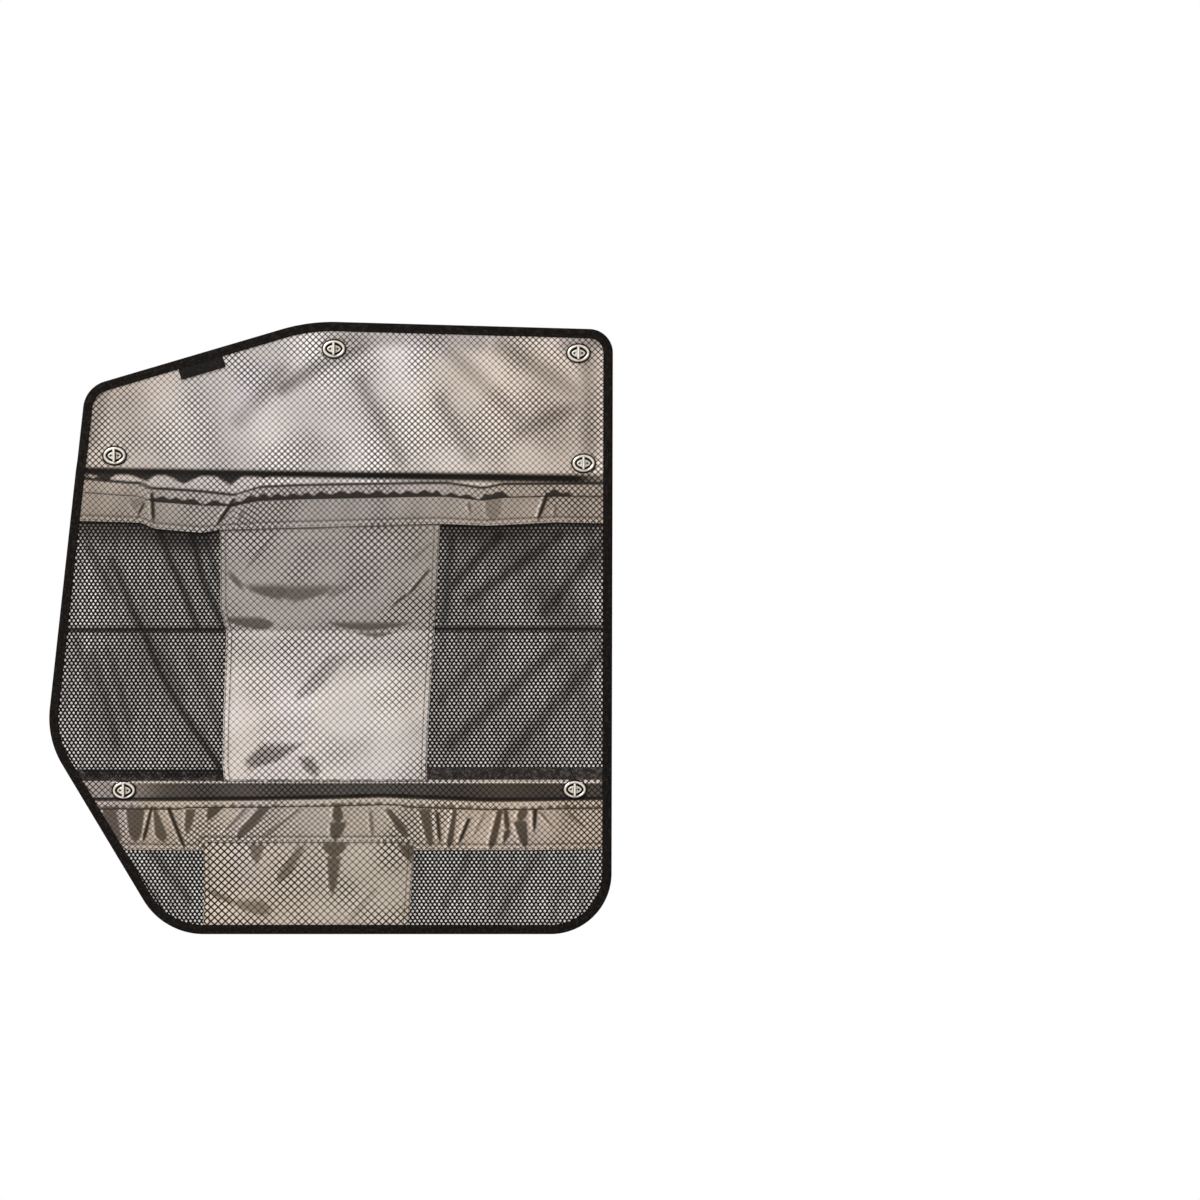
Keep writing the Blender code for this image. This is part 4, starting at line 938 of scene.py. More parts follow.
def stitches(name, paths, length, thickness, thread=dark_thread):
    """Rods of thread along each path of points (x, out, z).

    A rod is a few square rings: each is a place along it, a half width and a height above the cloth.
    """
    blocks = []
    for path in paths:
        path = np.asarray(path)
        far = distance_along(path)
        centres = np.arange(STITCH / 2, far[-1], STITCH)

        def at(distance):
            return np.stack([np.interp(distance, far, path[:, k]) for k in range(3)], axis=-1)

        middle = at(centres)
        run = at(centres + length / 2) - at(centres - length / 2)
        run /= np.linalg.norm(run, axis=1)[:, None]
        lift = np.array([0.0, 1.0, 0.0])
        side = np.cross(run, lift)
        side /= np.linalg.norm(side, axis=1)[:, None]
        for place, swell, rise in RODS:
            for k in range(ROD_SIDES):
                turn = pi / 4 + k * pi / 2
                blocks.append(middle + run * place * length
                              + lift * (rise + swell * sin(turn)) * thickness / 2
                              + side * swell * cos(turn) * thickness / 2)
    corners = len(RODS) * ROD_SIDES
    points = np.concatenate([np.stack(blocks[k:k + corners], axis=1) for k in range(0, len(blocks), corners)])
    base = np.arange(len(points))[:, None] * corners
    faces = []
    for ring in range(0, corners - ROD_SIDES, ROD_SIDES):
        for k in range(ROD_SIDES):
            a, b = ring + k, ring + (k + 1) % ROD_SIDES
            faces.append(base + [a, b, b + ROD_SIDES, a + ROD_SIDES])
    faces.append(base + range(ROD_SIDES)[::-1])
    faces.append(base + range(corners - ROD_SIDES, corners))
    flat = points.reshape(-1, 3)
    piece = mesh_from(name, flat.T, np.concatenate(faces), flat[:, 0], flat[:, 2])
    with edited(piece.data) as bm:
        bmesh.ops.recalc_face_normals(bm, faces=bm.faces)
    fit(piece, thread)
    print(f"{name}: {len(points)} stitches")


ABOVE_CLOTH = np.array([0, 0.0001, 0])
STITCH_COLUMN = 3
BACK_COLUMN = tape.shape[1] - 1 - STITCH_COLUMN
stitches("tape_stitches", [tape[:, STITCH_COLUMN] + ABOVE_CLOTH], length=0.0026, thickness=0.0005)
stitches("tape_back_stitches", [tape[:, BACK_COLUMN] - ABOVE_CLOTH], length=0.0026, thickness=0.0005)

# %% [markdown]
# ## The label tab
#
# Under the slanting shoulder a small black tab is caught in the seam. It is left bare. It is one small sheet, turned
# to the shoulder's slope, whose free lower edge lifts slightly from the panel.

# %% The tab
def tab_points():
    """The tab's grid, from places along the shoulder and below it."""
    (start_x, start_z, _), (end_x, end_z, _) = CORNERS[0], CORNERS[5]
    slope = atan2(end_z - start_z, end_x - start_x)
    run, fall = np.meshgrid(np.linspace(0.0945, 0.1405, 47), np.linspace(-0.0207, -0.0080, 14))
    x = start_x + run * cos(slope) - fall * sin(slope)
    z = start_z + run * sin(slope) + fall * cos(slope)
    free = smooth((-0.0095 - fall) / 0.011)
    out = 0.0009 + free * (0.0005 + 0.0003 * np.sin(run * 160))
    return x, out, z, run, fall


tab_x, tab_out, tab_z, tab_run, tab_fall = tab_points()
cloth("label_tab_cloth", tab_x, np.where(tab_fall > -TAPE_WIDTH, 0.0003, tab_out), tab_z, tab_run, tab_fall, 0.0005,
      label_cloth, ["label_tab"])

# %% [markdown]
# ## The gathered bands
#
# Each pocket's mouth is a band of ripstop, longer than the pocket is wide. Its top edge is folded over an elastic,
# and a row of stitches below makes the casing. The elastic draws the cloth together: small puckers cross the casing,
# and flat pleats run down from it, with a painted highlight on their left side and painted shade on their right. Each
# pleat is a facet between two heights, read off the photograph.

# %% Puckers, and the facets of the pleats
def part_of(number):
    return number - np.floor(number)


def puckers(x, below, count, seed, height, reach):
    """Narrow gathers that run down from the stitches. Multiples of fixed shares scatter them without a pattern."""
    total = np.zeros_like(x)
    for k in range(count):
        centre = -0.275 + 0.55 * part_of(k * 0.618034 + seed)
        width = 0.0016 + 0.0018 * part_of(k * 0.371 + seed)
        length = reach * (0.3 + 0.7 * part_of(k * 0.773 + seed))
        lean = (part_of(k * 0.537 + seed) - 0.5) * 0.5
        away = np.abs(x - centre - lean * below) / width
        total = total + height * (0.5 + part_of(k * 0.913)) * smooth(1 - away) * smooth(1 - below / length)
    return total


# Each band's facets, as in patches; the darkness is painted shade.
UPPER_BAND_FACETS = (
    (499, 131, 146, 516, 137, 141, 0.35, 4, 0.8), (503, 145, 148, 519, 137, 140, 0.80, 2, 1.2),
    (493, 153, 156, 523, 154, 158, 0.85, 2, 2.8), (499, 235, 239, 527, 216, 220, 0.90, 2, 2.8),
    (510, 243, 247, 524, 238, 241, 0.45, 2, 1.0), (496, 486, 503, 522, 487, 500, 0.30, 4, 2.0),
    (504, 468, 471, 515, 470, 473, 0.60, 2, 0.9), (493, 546, 550, 521, 536, 540, 0.88, 2, 2.6),
    (506, 555, 557, 519, 553, 556, 0.55, 2, 1.0),
)
LOWER_BAND_FACETS = (
    (806, 102, 116, 846, 112, 124, 0.62, 2, 1.6), (807, 127, 146, 842, 131, 142, 0.66, 2, 2.4),
    (806, 152, 155, 842, 142, 146, 0.88, 2, 2.0), (808, 155, 158, 842, 157, 172, 0.66, 2, 2.4),
    (806, 168, 172, 849, 185, 189, 0.92, 2, 2.2), (808, 188, 198, 834, 186, 191, 0.66, 2, 2.0),
    (806, 210, 226, 822, 207, 210, 0.70, 2, 1.2), (806, 261, 273, 838, 233, 245, 0.66, 2, 2.2),
    (808, 246, 249, 834, 221, 224, 0.60, 2, 0.9), (808, 299, 304, 838, 259, 265, 0.45, 3, 1.0),
    (802, 336, 341, 823, 332, 347, 0.66, 2, 2.2), (821, 332, 348, 840, 331, 341, 0.66, 2, 2.2),
    (810, 370, 373, 836, 372, 376, 0.45, 2, 1.0), (808, 386, 392, 836, 403, 414, 0.68, 2, 1.8),
    (808, 420, 431, 846, 429, 435, 0.66, 2, 2.2), (811, 436, 440, 843, 439, 443, 0.75, 2, 1.8),
    (808, 454, 458, 848, 446, 453, 0.70, 2, 2.0), (817, 468, 472, 844, 457, 461, 0.82, 2, 1.6),
    (812, 484, 487, 836, 472, 475, 0.35, 2, 0.8), (809, 498, 504, 849, 487, 495, 0.70, 2, 2.2),
    (809, 504, 508, 831, 505, 512, 0.72, 2, 2.0), (829, 505, 512, 844, 502, 506, 0.72, 2, 2.0),
    (808, 520, 528, 822, 514, 527, 0.68, 2, 2.2), (820, 514, 527, 848, 523, 529, 0.70, 2, 2.2),
    (808, 533, 538, 832, 533, 536, 0.78, 2, 1.8), (811, 539, 542, 828, 552, 555, 0.55, 2, 0.9),
    (813, 567, 572, 829, 583, 588, 0.50, 2, 1.0),
)
print("facets:", len(UPPER_BAND_FACETS), "and", len(LOWER_BAND_FACETS))

# %% [markdown]
# ## A band as rows
#
# A band is easiest to give as rows of points from side to side, each at some share of the height between hem and mouth.
# One class keeps a band's measures, and answers for each row where its points lie and how much painted light they
# get. Its numbers for painted shade are in pixels and millimetres, as they were read.

# %% A band's rows
BAND_COLUMNS = 521
HEM_HEIGHT = 0.0068
HEM_STITCHES = 0.0058
# How strong the painted shade of the upper casing's teeth is along it: (pixel, strength).
TEETH_ALONG = (
    (150, 0), (157, 1), (198, 1), (205, 0.1), (212, 0.9), (226, 0.8), (232, 0.2), (240, 1), (436, 1), (444, 0.3),
    (455, 0.6), (472, 0.6), (480, 0.1), (486, 1.3), (503, 1.3), (510, 0.15), (546, 0.15), (550, 1), (566, 0.9),
    (572, 0.2),
)


class Band:
    """One pocket's gathered band.

    It has the pleats' facets, the casing's height and bulge, the puckers' height and reach, a seed for their places, a
    tone that is the band's overall painted shade, and teeth: painted shade of the gathers that stand on the casing's
    stitches, as (pitch, lowest, highest, darkness).
    """

    def __init__(self, pocket, facets, casing, bulge, gathers, reach, seed, tone, teeth):
        self.pocket, self.facets, self.casing, self.bulge = pocket, facets, casing, bulge
        self.gathers, self.reach, self.seed, self.tone, self.teeth = gathers, reach, seed, tone, teeth
        columns = np.linspace(0, 1, BAND_COLUMNS)
        ends = [sides_at(pocket["mouth"] - fall, 0.0050) for fall in (0, pocket["band"])]
        self.x_top, self.x_hem = (mix(float(left), float(right), columns) for left, right in ends)

    def places(self, v):
        """Place of every column at share v of the height, which is 0 at the hem and 1 at the mouth."""
        x = mix(self.x_hem, self.x_top, v)
        z = mix(hem_at(self.pocket, self.x_hem), mouth_at(self.pocket, self.x_top), v)
        return x, z

    def relief(self, x, v):
        """Pleats and puckers, level under the tape."""
        height = self.pocket["band"]
        below = np.clip((1 - v) * height - self.casing, 0, None)
        z = mix(hem_at(self.pocket, x), mouth_at(self.pocket, x), v)
        return patches(x, z, self.facets)[1] + puckers(x, below, 110, self.seed, self.gathers, self.reach)

    def tooth_shade(self, px, above):
        """Painted shade of gathers of uneven height and width along the casing's stitches. Above is in mm from the
        stitches.
        """
        pitch, low, high, depth = self.teeth
        tooth = 1 - np.abs(2 * part_of(px / pitch + 0.22 * np.sin(px / 23) + 0.10 * np.sin(px / 7)) - 1)
        tooth = tooth * (0.75 + 0.25 * np.sin(px / 17)) + 0.12 * np.sin(px / 2.3)
        strong = read_line(TEETH_ALONG, px) if self.pocket is UPPER else 1.0
        reach = (low + (high - low) * tooth) * strong
        return depth * smooth((reach - above) / 1.2 + 0.5) * (above > -0.4) * (reach > 0.4)

    def clean(self, v):
        """How much painted light each point of a row gets: painted shade on the facets, the stitches, the mouth and the
        casing's gathers, and painted highlight beside the facets, on the hem and on the casing.
        """
        x, z = self.places(v)
        px, height = pixel_of(x, z)[0], self.pocket["band"]
        from_mouth, from_hem = (1 - v) * height * 1000, v * height * 1000
        above = self.casing * 1000 - from_mouth
        dark, lit = facet_shades(x, z, self.facets)
        dark = np.maximum(dark, self.tooth_shade(px, above))
        # Painted shade along both rows of stitches and along the mouth's edge.
        seams = 0.60 * line_at(above, 0.6) + 0.66 * line_at(from_hem - 5.9, 0.7)
        edge = 0.90 * line_at(from_mouth, 0.95, core=1.6)
        # Painted highlight on the hem and the casing, painted shade towards the left, and a tone that varies.
        tone = self.tone * (1.5 if from_hem < 1.0 else 1.22 if from_hem < 5.0 else 1.0) * (1.12 if above > 1 else 1.0)
        tone = tone * (1 - 0.14 * smooth((190 - px) / 40)) * (1 + 0.12 * ripple(x, z, 0.045, 2.9))
        return np.clip((1 - dark) * (1 + 0.6 * lit) * (1 - min(seams + edge, 0.92)) * tone, 0.03, 1.09)

    def front(self, v):
        """The front of the band along one row: (x, out, z)."""
        x, z = self.places(v)
        height = self.pocket["band"]
        from_mouth, from_hem = (1 - v) * height, v * height
        free = off_tape(x, z, 0.010, past=0.0014)
        inside = np.clip(1 - from_mouth / self.casing, 0, 1)
        tube = self.bulge * np.sin(pi * inside) ** 0.55 if inside > 0 else 0
        groove = -0.0005 * smooth(1 - abs(from_mouth - self.casing) / 0.0016)
        hem = 0.0003 * smooth(1 - (from_hem - HEM_HEIGHT) / 0.0012) if from_hem > HEM_HEIGHT else 0.0003
        raised = self.relief(x, v) + tube * (1 + 0.25 * ripple(x, z, 0.016, self.seed)) + groove + hem
        out = wall(self.pocket, x, z) + mix(0.00175, 0.0026, free) + raised * free
        return np.stack([x, out, z], axis=-1)

    def rear(self, v, layer):
        """The cloth behind the elastic, along one row."""
        x, z = self.places(v)
        out = wall(self.pocket, x, z) + self.relief(x, v) * off_tape(x, z, 0.010, past=0.0014) + layer
        return np.stack([x, out, z], axis=-1)


print("a band's row has", BAND_COLUMNS, "points")

# %% [markdown]
# ## Make the bands and their elastics
#
# The sheet runs from the hem up the front, round the mouth and down behind the elastic. Its rows stand closer together
# in the casing. The weave is measured from the mouth, so that the step in the lower hem does not bend it. The elastic
# is a flat tape between the band's two layers.

# %% The bands and the elastics
ROW_PITCH, CASING_PITCH, STITCH_RUN = 0.0013, 0.0007, 0.0016
# Painted shade for the rows round the mouth and behind the elastic.
HIDDEN_PAINTED_LIGHT = (0.04, 0.04, 0.15, 0.5, 0.5, 0.5, 0.5)


def make_band(name, band, finish, nodes):
    """The band's sheet: rows up the front, three round the mouth, and four behind the elastic."""
    height = band.pocket["band"]
    plain = np.arange(ROW_PITCH, height - band.casing - STITCH_RUN, ROW_PITCH) / height
    casing = 1 - np.arange(band.casing + STITCH_RUN, 0.0006, -CASING_PITCH) / height
    front_rows = [0.0, *plain, *casing, 1 - 0.0005 / height]
    rows = [band.front(v) for v in front_rows]
    top, low = rows[-1], band.rear(1.0, 0.0004)
    for share in (0.35, 0.7, 1.0):
        turned = mix(top, low, share)
        turned[:, 2] = top[:, 2] + 0.0004 * sin(pi * share)
        rows.append(turned)
    rows += [band.rear(1 - fall / height, 0.0) for fall in (0.0016, 0.004, 0.007, band.casing)]
    points = np.stack(rows)
    x, out, z = np.moveaxis(points, -1, 0)
    steps = np.linalg.norm(np.diff(points, axis=0), axis=-1)
    far = np.concatenate([np.zeros((1, x.shape[1])), np.cumsum(steps, axis=0)])
    far = far - far[len(front_rows) - 1]
    hidden = [np.full_like(x[0], value) for value in HIDDEN_PAINTED_LIGHT]
    clean = np.stack([band.clean(v) for v in front_rows] + hidden)
    cloth(name, x, out, z, x * 1.03, far + band.pocket["mouth"], CLOTH, finish, nodes,
          clean)


def make_elastic(name, band, tall, nodes):
    """The elastic's sheet. A quarter of the band's columns is enough for it."""
    height = band.pocket["band"]
    rows = [band.rear(1 - fall / height, 0.0015)[::4] for fall in np.linspace(0.0016 + tall, 0.0016, 5)]
    x, out, z = np.moveaxis(np.stack(rows), -1, 0)
    cloth(name, x, out, z, x, z, 0.0005, elastic_cloth, nodes)


# Each band's tone is its overall painted shade, and its teeth are painted shade of the gathers.
bands = {
    "upper": Band(UPPER, UPPER_BAND_FACETS, casing=0.0132, bulge=0.0014, gathers=0.00030, reach=0.012, seed=0.13,
                  tone=0.420, teeth=(16, 3.4, 8.0, 0.95)),
    "lower": Band(LOWER, LOWER_BAND_FACETS, casing=0.0090, bulge=0.0010, gathers=0.00045, reach=0.034, seed=0.41,
                  tone=0.575, teeth=(8.5, 0.3, 5.0, 0.80)),
}
POCKET_SILVER = {"upper": silver_cool, "lower": silver_warm}
ELASTIC_HEIGHT = {"upper": 0.0090, "lower": 0.0052}
for name, band in bands.items():
    make_band(f"{name}_band_cloth", band, POCKET_SILVER[name], [f"{name}_pocket_top_band"])
    make_elastic(f"{name}_elastic_tape", band, ELASTIC_HEIGHT[name], [f"{name}_pocket_elastic"])

# %% [markdown]
# ## Stitches of the bands
#
# Three rows of thread hold a band: one at its hem's edge, one at the hem's top and one below the elastic, which makes
# the casing. The rows end where the edge tape covers them.

# %% Stitches of the bands
for name, band in bands.items():
    height = band.pocket["band"]
    seams = [band.front(v) for v in (0.0016 / height, HEM_STITCHES / height, 1 - band.casing / height)]
    inside = [row[edge_distance(row[:, 0], row[:, 2]) > TAPE_WIDTH] + ABOVE_CLOTH for row in seams]
    stitches(f"{name}_band_stitches", inside, length=0.0026, thickness=0.0008)

# %% [markdown]
# ## The middle panels
#
# Between the two nets each pocket has a panel of ripstop, narrower towards its base. Its sides are turned under and
# sewn down with two rows, which makes a flat raised border 6 mm wide. Packing has left it with soft folds, read off
# the photograph one by one: ridges as lines with a half width and a height, and flat facets with painted shade and a
# painted highlight.

# %% Tables of the middle panels
MIDDLES = {"upper": (UPPER, -0.1542), "lower": (LOWER, -0.3000)}
MIDDLE_WEAVE = {"upper": 0.90, "lower": 0.85}
MIDDLE_SEAMS = (0.0012, 0.0052)
MIDDLE_LINES = {
    "upper": (
        *chain(((232, 576), (262, 588), (330, 598)), (9, 10), (0.0011, 0.0012)), ((430, 560), (390, 610), 10, 0.0012),
        ((250, 545), (262, 620), 8, 0.0006), ((300, 540), (296, 600), 9, 0.0005), ((350, 560), (372, 622), 9, 0.0007),
        ((222, 632), (440, 629), 5, -0.0012), ((270, 745), (320, 775), 11, -0.0011),
        ((300, 735), (345, 765), 9, 0.0009), ((240, 640), (300, 700), 12, 0.0007), ((390, 650), (350, 740), 12, 0.0008),
        ((420, 690), (405, 770), 9, 0.0006), ((235, 700), (250, 775), 8, 0.0006), ((330, 650), (325, 720), 10, 0.0005),
        ((380, 540), (400, 560), 7, 0.0007),
    ),
    "lower": (
        ((215, 855), (230, 905), 8, 0.0006), ((250, 850), (262, 900), 9, 0.0007), ((300, 846), (290, 900), 9, 0.0006),
        ((345, 850), (352, 910), 9, 0.0006), ((385, 850), (372, 905), 9, 0.0007), ((215, 890), (400, 884), 7, -0.0007),
    ),
}
# Facets as in patches; their darkness is painted shade.
MIDDLE_FACETS = {
    "upper": (
        (573, 229, 234, 590, 240, 250, 0.62, 5, 0.9), (585, 246, 285, 600, 262, 300, 0.60, 7, 0.9),
        (586, 280, 335, 602, 275, 318, 0.55, 8, 0.8), (586, 325, 352, 598, 320, 345, 0.32, 9, 0.5),
        (617, 228, 262, 630, 232, 296, 0.62, 4, 0.0), (622, 330, 412, 631, 315, 420, 0.60, 4, 0.0),
        (632, 345, 405, 638, 358, 396, 0.62, 3, 0.0), (569, 429, 432, 596, 406, 411, 0.80, 2.5, 1.0),
        (594, 406, 411, 608, 388, 393, 0.75, 2.5, 1.0), (543, 431, 434, 562, 408, 411, 0.40, 2.5, 0.5),
        (534, 275, 278, 571, 244, 247, 0.35, 2.5, 0.6), (745, 262, 300, 768, 236, 268, 0.42, 12, 0.8),
        (758, 300, 312, 776, 308, 324, 0.40, 9, 0.6), (655, 330, 352, 700, 290, 308, 0.14, 10, 0.4),
    ),
    "lower": (
        (841, 323, 349, 858, 328, 342, 0.66, 2.5, 1.8), (856, 328, 342, 895, 330, 335, 0.64, 2.5, 1.6),
        (843, 398, 415, 863, 409, 413, 0.66, 2.5, 1.4), (843, 250, 266, 864, 255, 260, 0.58, 4, 1.2),
        (845, 299, 307, 882, 272, 287, 0.52, 6, 1.2), (890, 207, 216, 905, 226, 244, 0.55, 6, 0.9),
        (900, 232, 262, 916, 246, 282, 0.48, 8, 0.9), (888, 372, 380, 922, 345, 352, 0.18, 6, 0.5),
    ),
}


print("middle folds:", {name: len(lines) + len(MIDDLE_FACETS[name]) for name, lines in MIDDLE_LINES.items()})

# %% The middle panels' surface, and how clean it is
def middle_painted_light(name, x, z):
    """Painted shade above the upper crease, on facets, along seams, under the hem and at the base; painted highlights
    by facets.
    """
    px, py = pixel_of(x, z)
    dark, lit = facet_shades(x, z, MIDDLE_FACETS[name])
    left, right = seam_x(name, z)
    from_seam = np.minimum(x - left, right - x) * 1000
    seams = 0.45 * sum(line_at(from_seam - at, 0.55) for at in (0.9, 5.6))
    if name == "upper":
        # Painted shade: darker above the crease, towards the right and under the hem, with a shadow line at the hem's
        # edge.
        tone = mix(0.460, 0.78, smooth((py - 629) / 4) * 0.6 + smooth((py - 640) / 60) * 0.4)
        tone = tone * (1 - 0.10 * smooth((px - 385) / 40)) * (1 - 0.5 * smooth(1 - (540 - py) / 12) * (py < 533))
        tone = tone * (1 - 0.85 * line_at((hem_at(UPPER, x) - z) * 1000 - 0.4, 1.0, core=1.6))
        # A line of painted shade along the pocket's base.
        line = 0.85 * line_at(py - 781.6 + ripple(x, 0 * x, 0.013, 1.9), 1.3)
    else:
        # The lower panel's overall painted shade, a little darker to the right.
        tone = 0.65 - 0.05 * smooth((px - 380) / 30)
        line = 0 * x
    tone = tone * (1 + 0.07 * ripple(x, z, 0.060, 5.0)) * (1 + 0.35 * lit)
    return np.clip((1 - dark) * (1 - np.minimum(seams, 0.6)) * (1 - line) * tone, 0.04, 1.09)


def middle_surface(name, x, z):
    """How far out the middle panel lies: on the wall, with its border, its rows of stitches and its folds."""
    pocket = MIDDLES[name][0]
    left, right = seam_x(name, z)
    from_seam = np.minimum(x - left, right - x)
    border = 0.0005 * smooth(1 - (from_seam - 0.0058) / 0.0012)
    rows = -0.0003 * sum(np.clip(1 - np.abs(from_seam - at) / 0.0009, 0, 1) for at in MIDDLE_SEAMS)
    folds = ridges(x, z, MIDDLE_LINES[name]) + 0.00022 * ripple(x, z, 0.030, 2.1)
    folds = folds + patches(x, z, MIDDLE_FACETS[name])[1]
    return wall(pocket, x, z) + 0.0014 + border + rows + folds * smooth((from_seam - 0.004) / 0.010)


print("upper middle stands out", round(float(middle_surface("upper", np.array(0.0), np.array(0.05))) * 1000, 1), "mm")

# %% [markdown]
# ## Lay out the middle panels
#
# The grid's columns stand closer at both sides, where the border and its two rows of stitches are. The raw edge at the
# base is a little ragged. Light thread closes the pocket's base all along.

# %% The middle panels and their stitches
def row_on_middle(name, x, z):
    """A row of points just above a middle panel, for stitches."""
    return np.stack([x, middle_surface(name, x, z), z], axis=1) + ABOVE_CLOTH


UNDER_BAND = 0.0075
SHARES = np.concatenate([np.linspace(0, 0.035, 9), np.linspace(0.035, 0.965, 114)[1:-1], np.linspace(0.965, 1, 9)])
middle_seams = {}
for name, (pocket, low) in MIDDLES.items():
    top = pocket["mouth"] - pocket["band"] + UNDER_BAND
    heights = np.linspace(low, top, ceil((top - low) / 0.0018))
    left, right = seam_x(name, heights)
    x, z = spread(heights, (left, right), SHARES)
    z = z + (0.0007 * ripple(x, 0 * x, 0.011, 0.7) + 0.0003 * np.sin(x * 2600)) * smooth(1 - (z - low) / 0.010)
    scale = MIDDLE_WEAVE[name]
    out = middle_surface(name, x, z)
    cloth(f"{name}_middle_cloth", x, out, z, x * scale, z * scale, CLOTH, POCKET_SILVER[name],
          [f"{name}_pocket_middle_panel"], middle_painted_light(name, x, z))
    shown = (heights > -0.2960) & (heights < top - UNDER_BAND - 0.001)
    middle_seams[name] = [row_on_middle(name, (side + sign * inset)[shown], heights[shown])
                          for side, sign in ((left, 1), (right, -1)) for inset in MIDDLE_SEAMS]

base_line = np.linspace(-0.1065, 0.0945, 200)
middle_seams["upper"].append(row_on_middle("upper", base_line, np.full_like(base_line, -0.1515)))
for name, seams in middle_seams.items():
    stitches(f"{name}_middle_stitches", seams, length=0.0025, thickness=0.0007)
light_x = np.linspace(-0.2200, 0.2700, 200)
light_row = np.stack([light_x, np.full_like(light_x, 0.0027), np.full_like(light_x, -0.1544)], axis=1)
stitches("base_stitches", [light_row], length=0.0023, thickness=0.0014, thread=light_thread)

# %% [markdown]
# ## The nets
#
# The net is knitted, with tall holes in rows that step sideways by half a hole. Every hole is real, so the silver
# behind it shows through, with painted light, and with painted shade along the net's folds. One cell is a ring of six
# faces round a hole.
# Neighbouring cells share their outer corners, so the yarn between them is one mesh. We keep only the cells that lie
# in the pocket, and then lift the whole mesh onto the pocket's wall and its folds.

# %% Cells of net
NET_ACROSS, NET_UP = 0.0044, 0.0033
CELL = ((2.20, 0.917), (0.0, 2.383), (-2.20, 0.917), (-2.20, -0.917), (0.0, -2.383), (2.20, -0.917))
HOLE = ((1.18, 0.60), (0.0, 1.50), (-1.18, 0.60), (-1.18, -0.60), (0.0, -1.50), (1.18, -0.60))
NET_LINES = {
    "upper_left": (
        ((164, 540), (183, 581), 8, 0.0012), ((183, 581), (196, 615), 8, 0.0012), ((194, 540), (222, 620), 7, 0.0010),
        *chain(LONG_FOLD, (7, 8, 8, 8, 7, 6), (0.0020, 0.0024, 0.0024, 0.0022, 0.0018, 0.0012)),
        ((91, 540), (133, 615), 8, 0.0008), ((70, 632), (222, 631), 4, -0.0016), ((100, 655), (118, 745), 11, 0.0008),
    ),
    "upper_right": (
        ((600, 545), (540, 612), 12, 0.0012), ((560, 535), (470, 600), 12, 0.0011),
        ((500, 535), (452, 575), 10, 0.0009), ((605, 650), (500, 765), 13, 0.0012),
        ((560, 645), (450, 745), 12, 0.0011), ((430, 630), (605, 629), 4, -0.0014), ((604, 600), (570, 622), 9, 0.0007),
    ),
    "lower_left": (((110, 852), (150, 905), 8, 0.0008), ((150, 850), (190, 910), 8, 0.0008)),
    "lower_right": (
        ((470, 852), (445, 905), 9, 0.0009), ((530, 852), (490, 915), 9, 0.0009), ((600, 856), (545, 920), 9, 0.0009),
    ),
}


def net_surface(pocket, x, z, lines):
    """How far out the net lies: on the wall, with its own folds."""
    folds = ridges(x, z, lines) + 0.00025 * ripple(x, z, 0.034, 3.3)
    return wall(pocket, x, z) + 0.0006 + folds * off_tape(x, z, 0.008)


def make_net(name, pocket, lowest, lines):
    """The net between the pouch's edge and one side of the middle panel."""
    rows = np.arange(-0.3060, 0.1200, NET_UP)
    columns = np.arange(-0.2860, 0.2860, NET_ACROSS)
    x, z = np.meshgrid(columns, rows)
    x = x + (np.arange(len(rows)) % 2)[:, None] * NET_ACROSS / 2
    x, z = x.ravel(), z.ravel()
    which, hand = name.split("_")
    left, right = seam_x(which, z)
    keep = (x < left + 0.0040) if hand == "left" else (x > right - 0.0040)
    keep &= (z > lowest) & (z < hem_at(pocket, x) + 0.0045) & (edge_distance(x, z) > 0.0055)
    x, z = x[keep], z[keep]
    corners = np.array(CELL + HOLE) / 1000
    points = np.stack([x[:, None] + corners[:, 0], z[:, None] + corners[:, 1]], axis=-1)
    key = np.round(points.reshape(-1, 2) / 1e-5).astype(int)
    _, first, number = np.unique(key, axis=0, return_index=True, return_inverse=True)
    flat = points.reshape(-1, 2)[first]
    number = number.reshape(len(x), 12)
    faces = [number[:, [k, (k + 1) % 6, (k + 1) % 6 + 6, k + 6]] for k in range(len(CELL))]
    out = net_surface(pocket, flat[:, 0], flat[:, 1], lines)
    piece = mesh_from(f"{name}_net_cloth", (flat[:, 0], out, flat[:, 1]), np.concatenate(faces), flat[:, 0], flat[:, 1])
    thicken(piece, 0.0005)
    fit(piece, black_net, [f"{which}_pocket_{hand}_net"])
    print(f"{name} net: {len(x)} holes")


for name, lines in NET_LINES.items():
    pocket, lowest = (UPPER, -0.1505) if name.startswith("upper") else (LOWER, -0.3060)
    make_net(name, pocket, lowest, lines)

# %% [markdown]
# ## The hems below the upper nets
#
# The upper nets end in a hem of black cloth, sewn down flat above the gap between the pockets. Each is a narrow sheet
# from the edge tape to the middle panel.

# %% The base hems
HEM_LAP = 0.003
heights = np.linspace(-0.1527, -0.1413, 10)
seams, edges = seam_x("upper", heights), sides_at(heights, 0.0055)
for side, ends, count, lift in (("left", (edges[0], seams[0] + HEM_LAP), 110, 0.0),
                                ("right", (seams[1] - HEM_LAP, edges[1]), 140, 0.0012)):
    x, z = spread(heights, ends, np.linspace(0, 1, count))
    z = z + lift
    hollow = -0.0004 * sum(np.clip(1 - np.abs(z - z[:1] - at) / 0.0014, 0, 1) for at in (0.0016, 0.0098))
    free = off_tape(x, z, 0.006)
    out = wall(UPPER, x, z) + mix(0.0011, 0.0013, free) + hollow + 0.0003 * ripple(x, z, 0.020, 4.0) * free
    cloth(f"{side}_base_hem_cloth", x, out, z, x, z, CLOTH, black_hem,
          [f"upper_pocket_{side}_base_hem"])

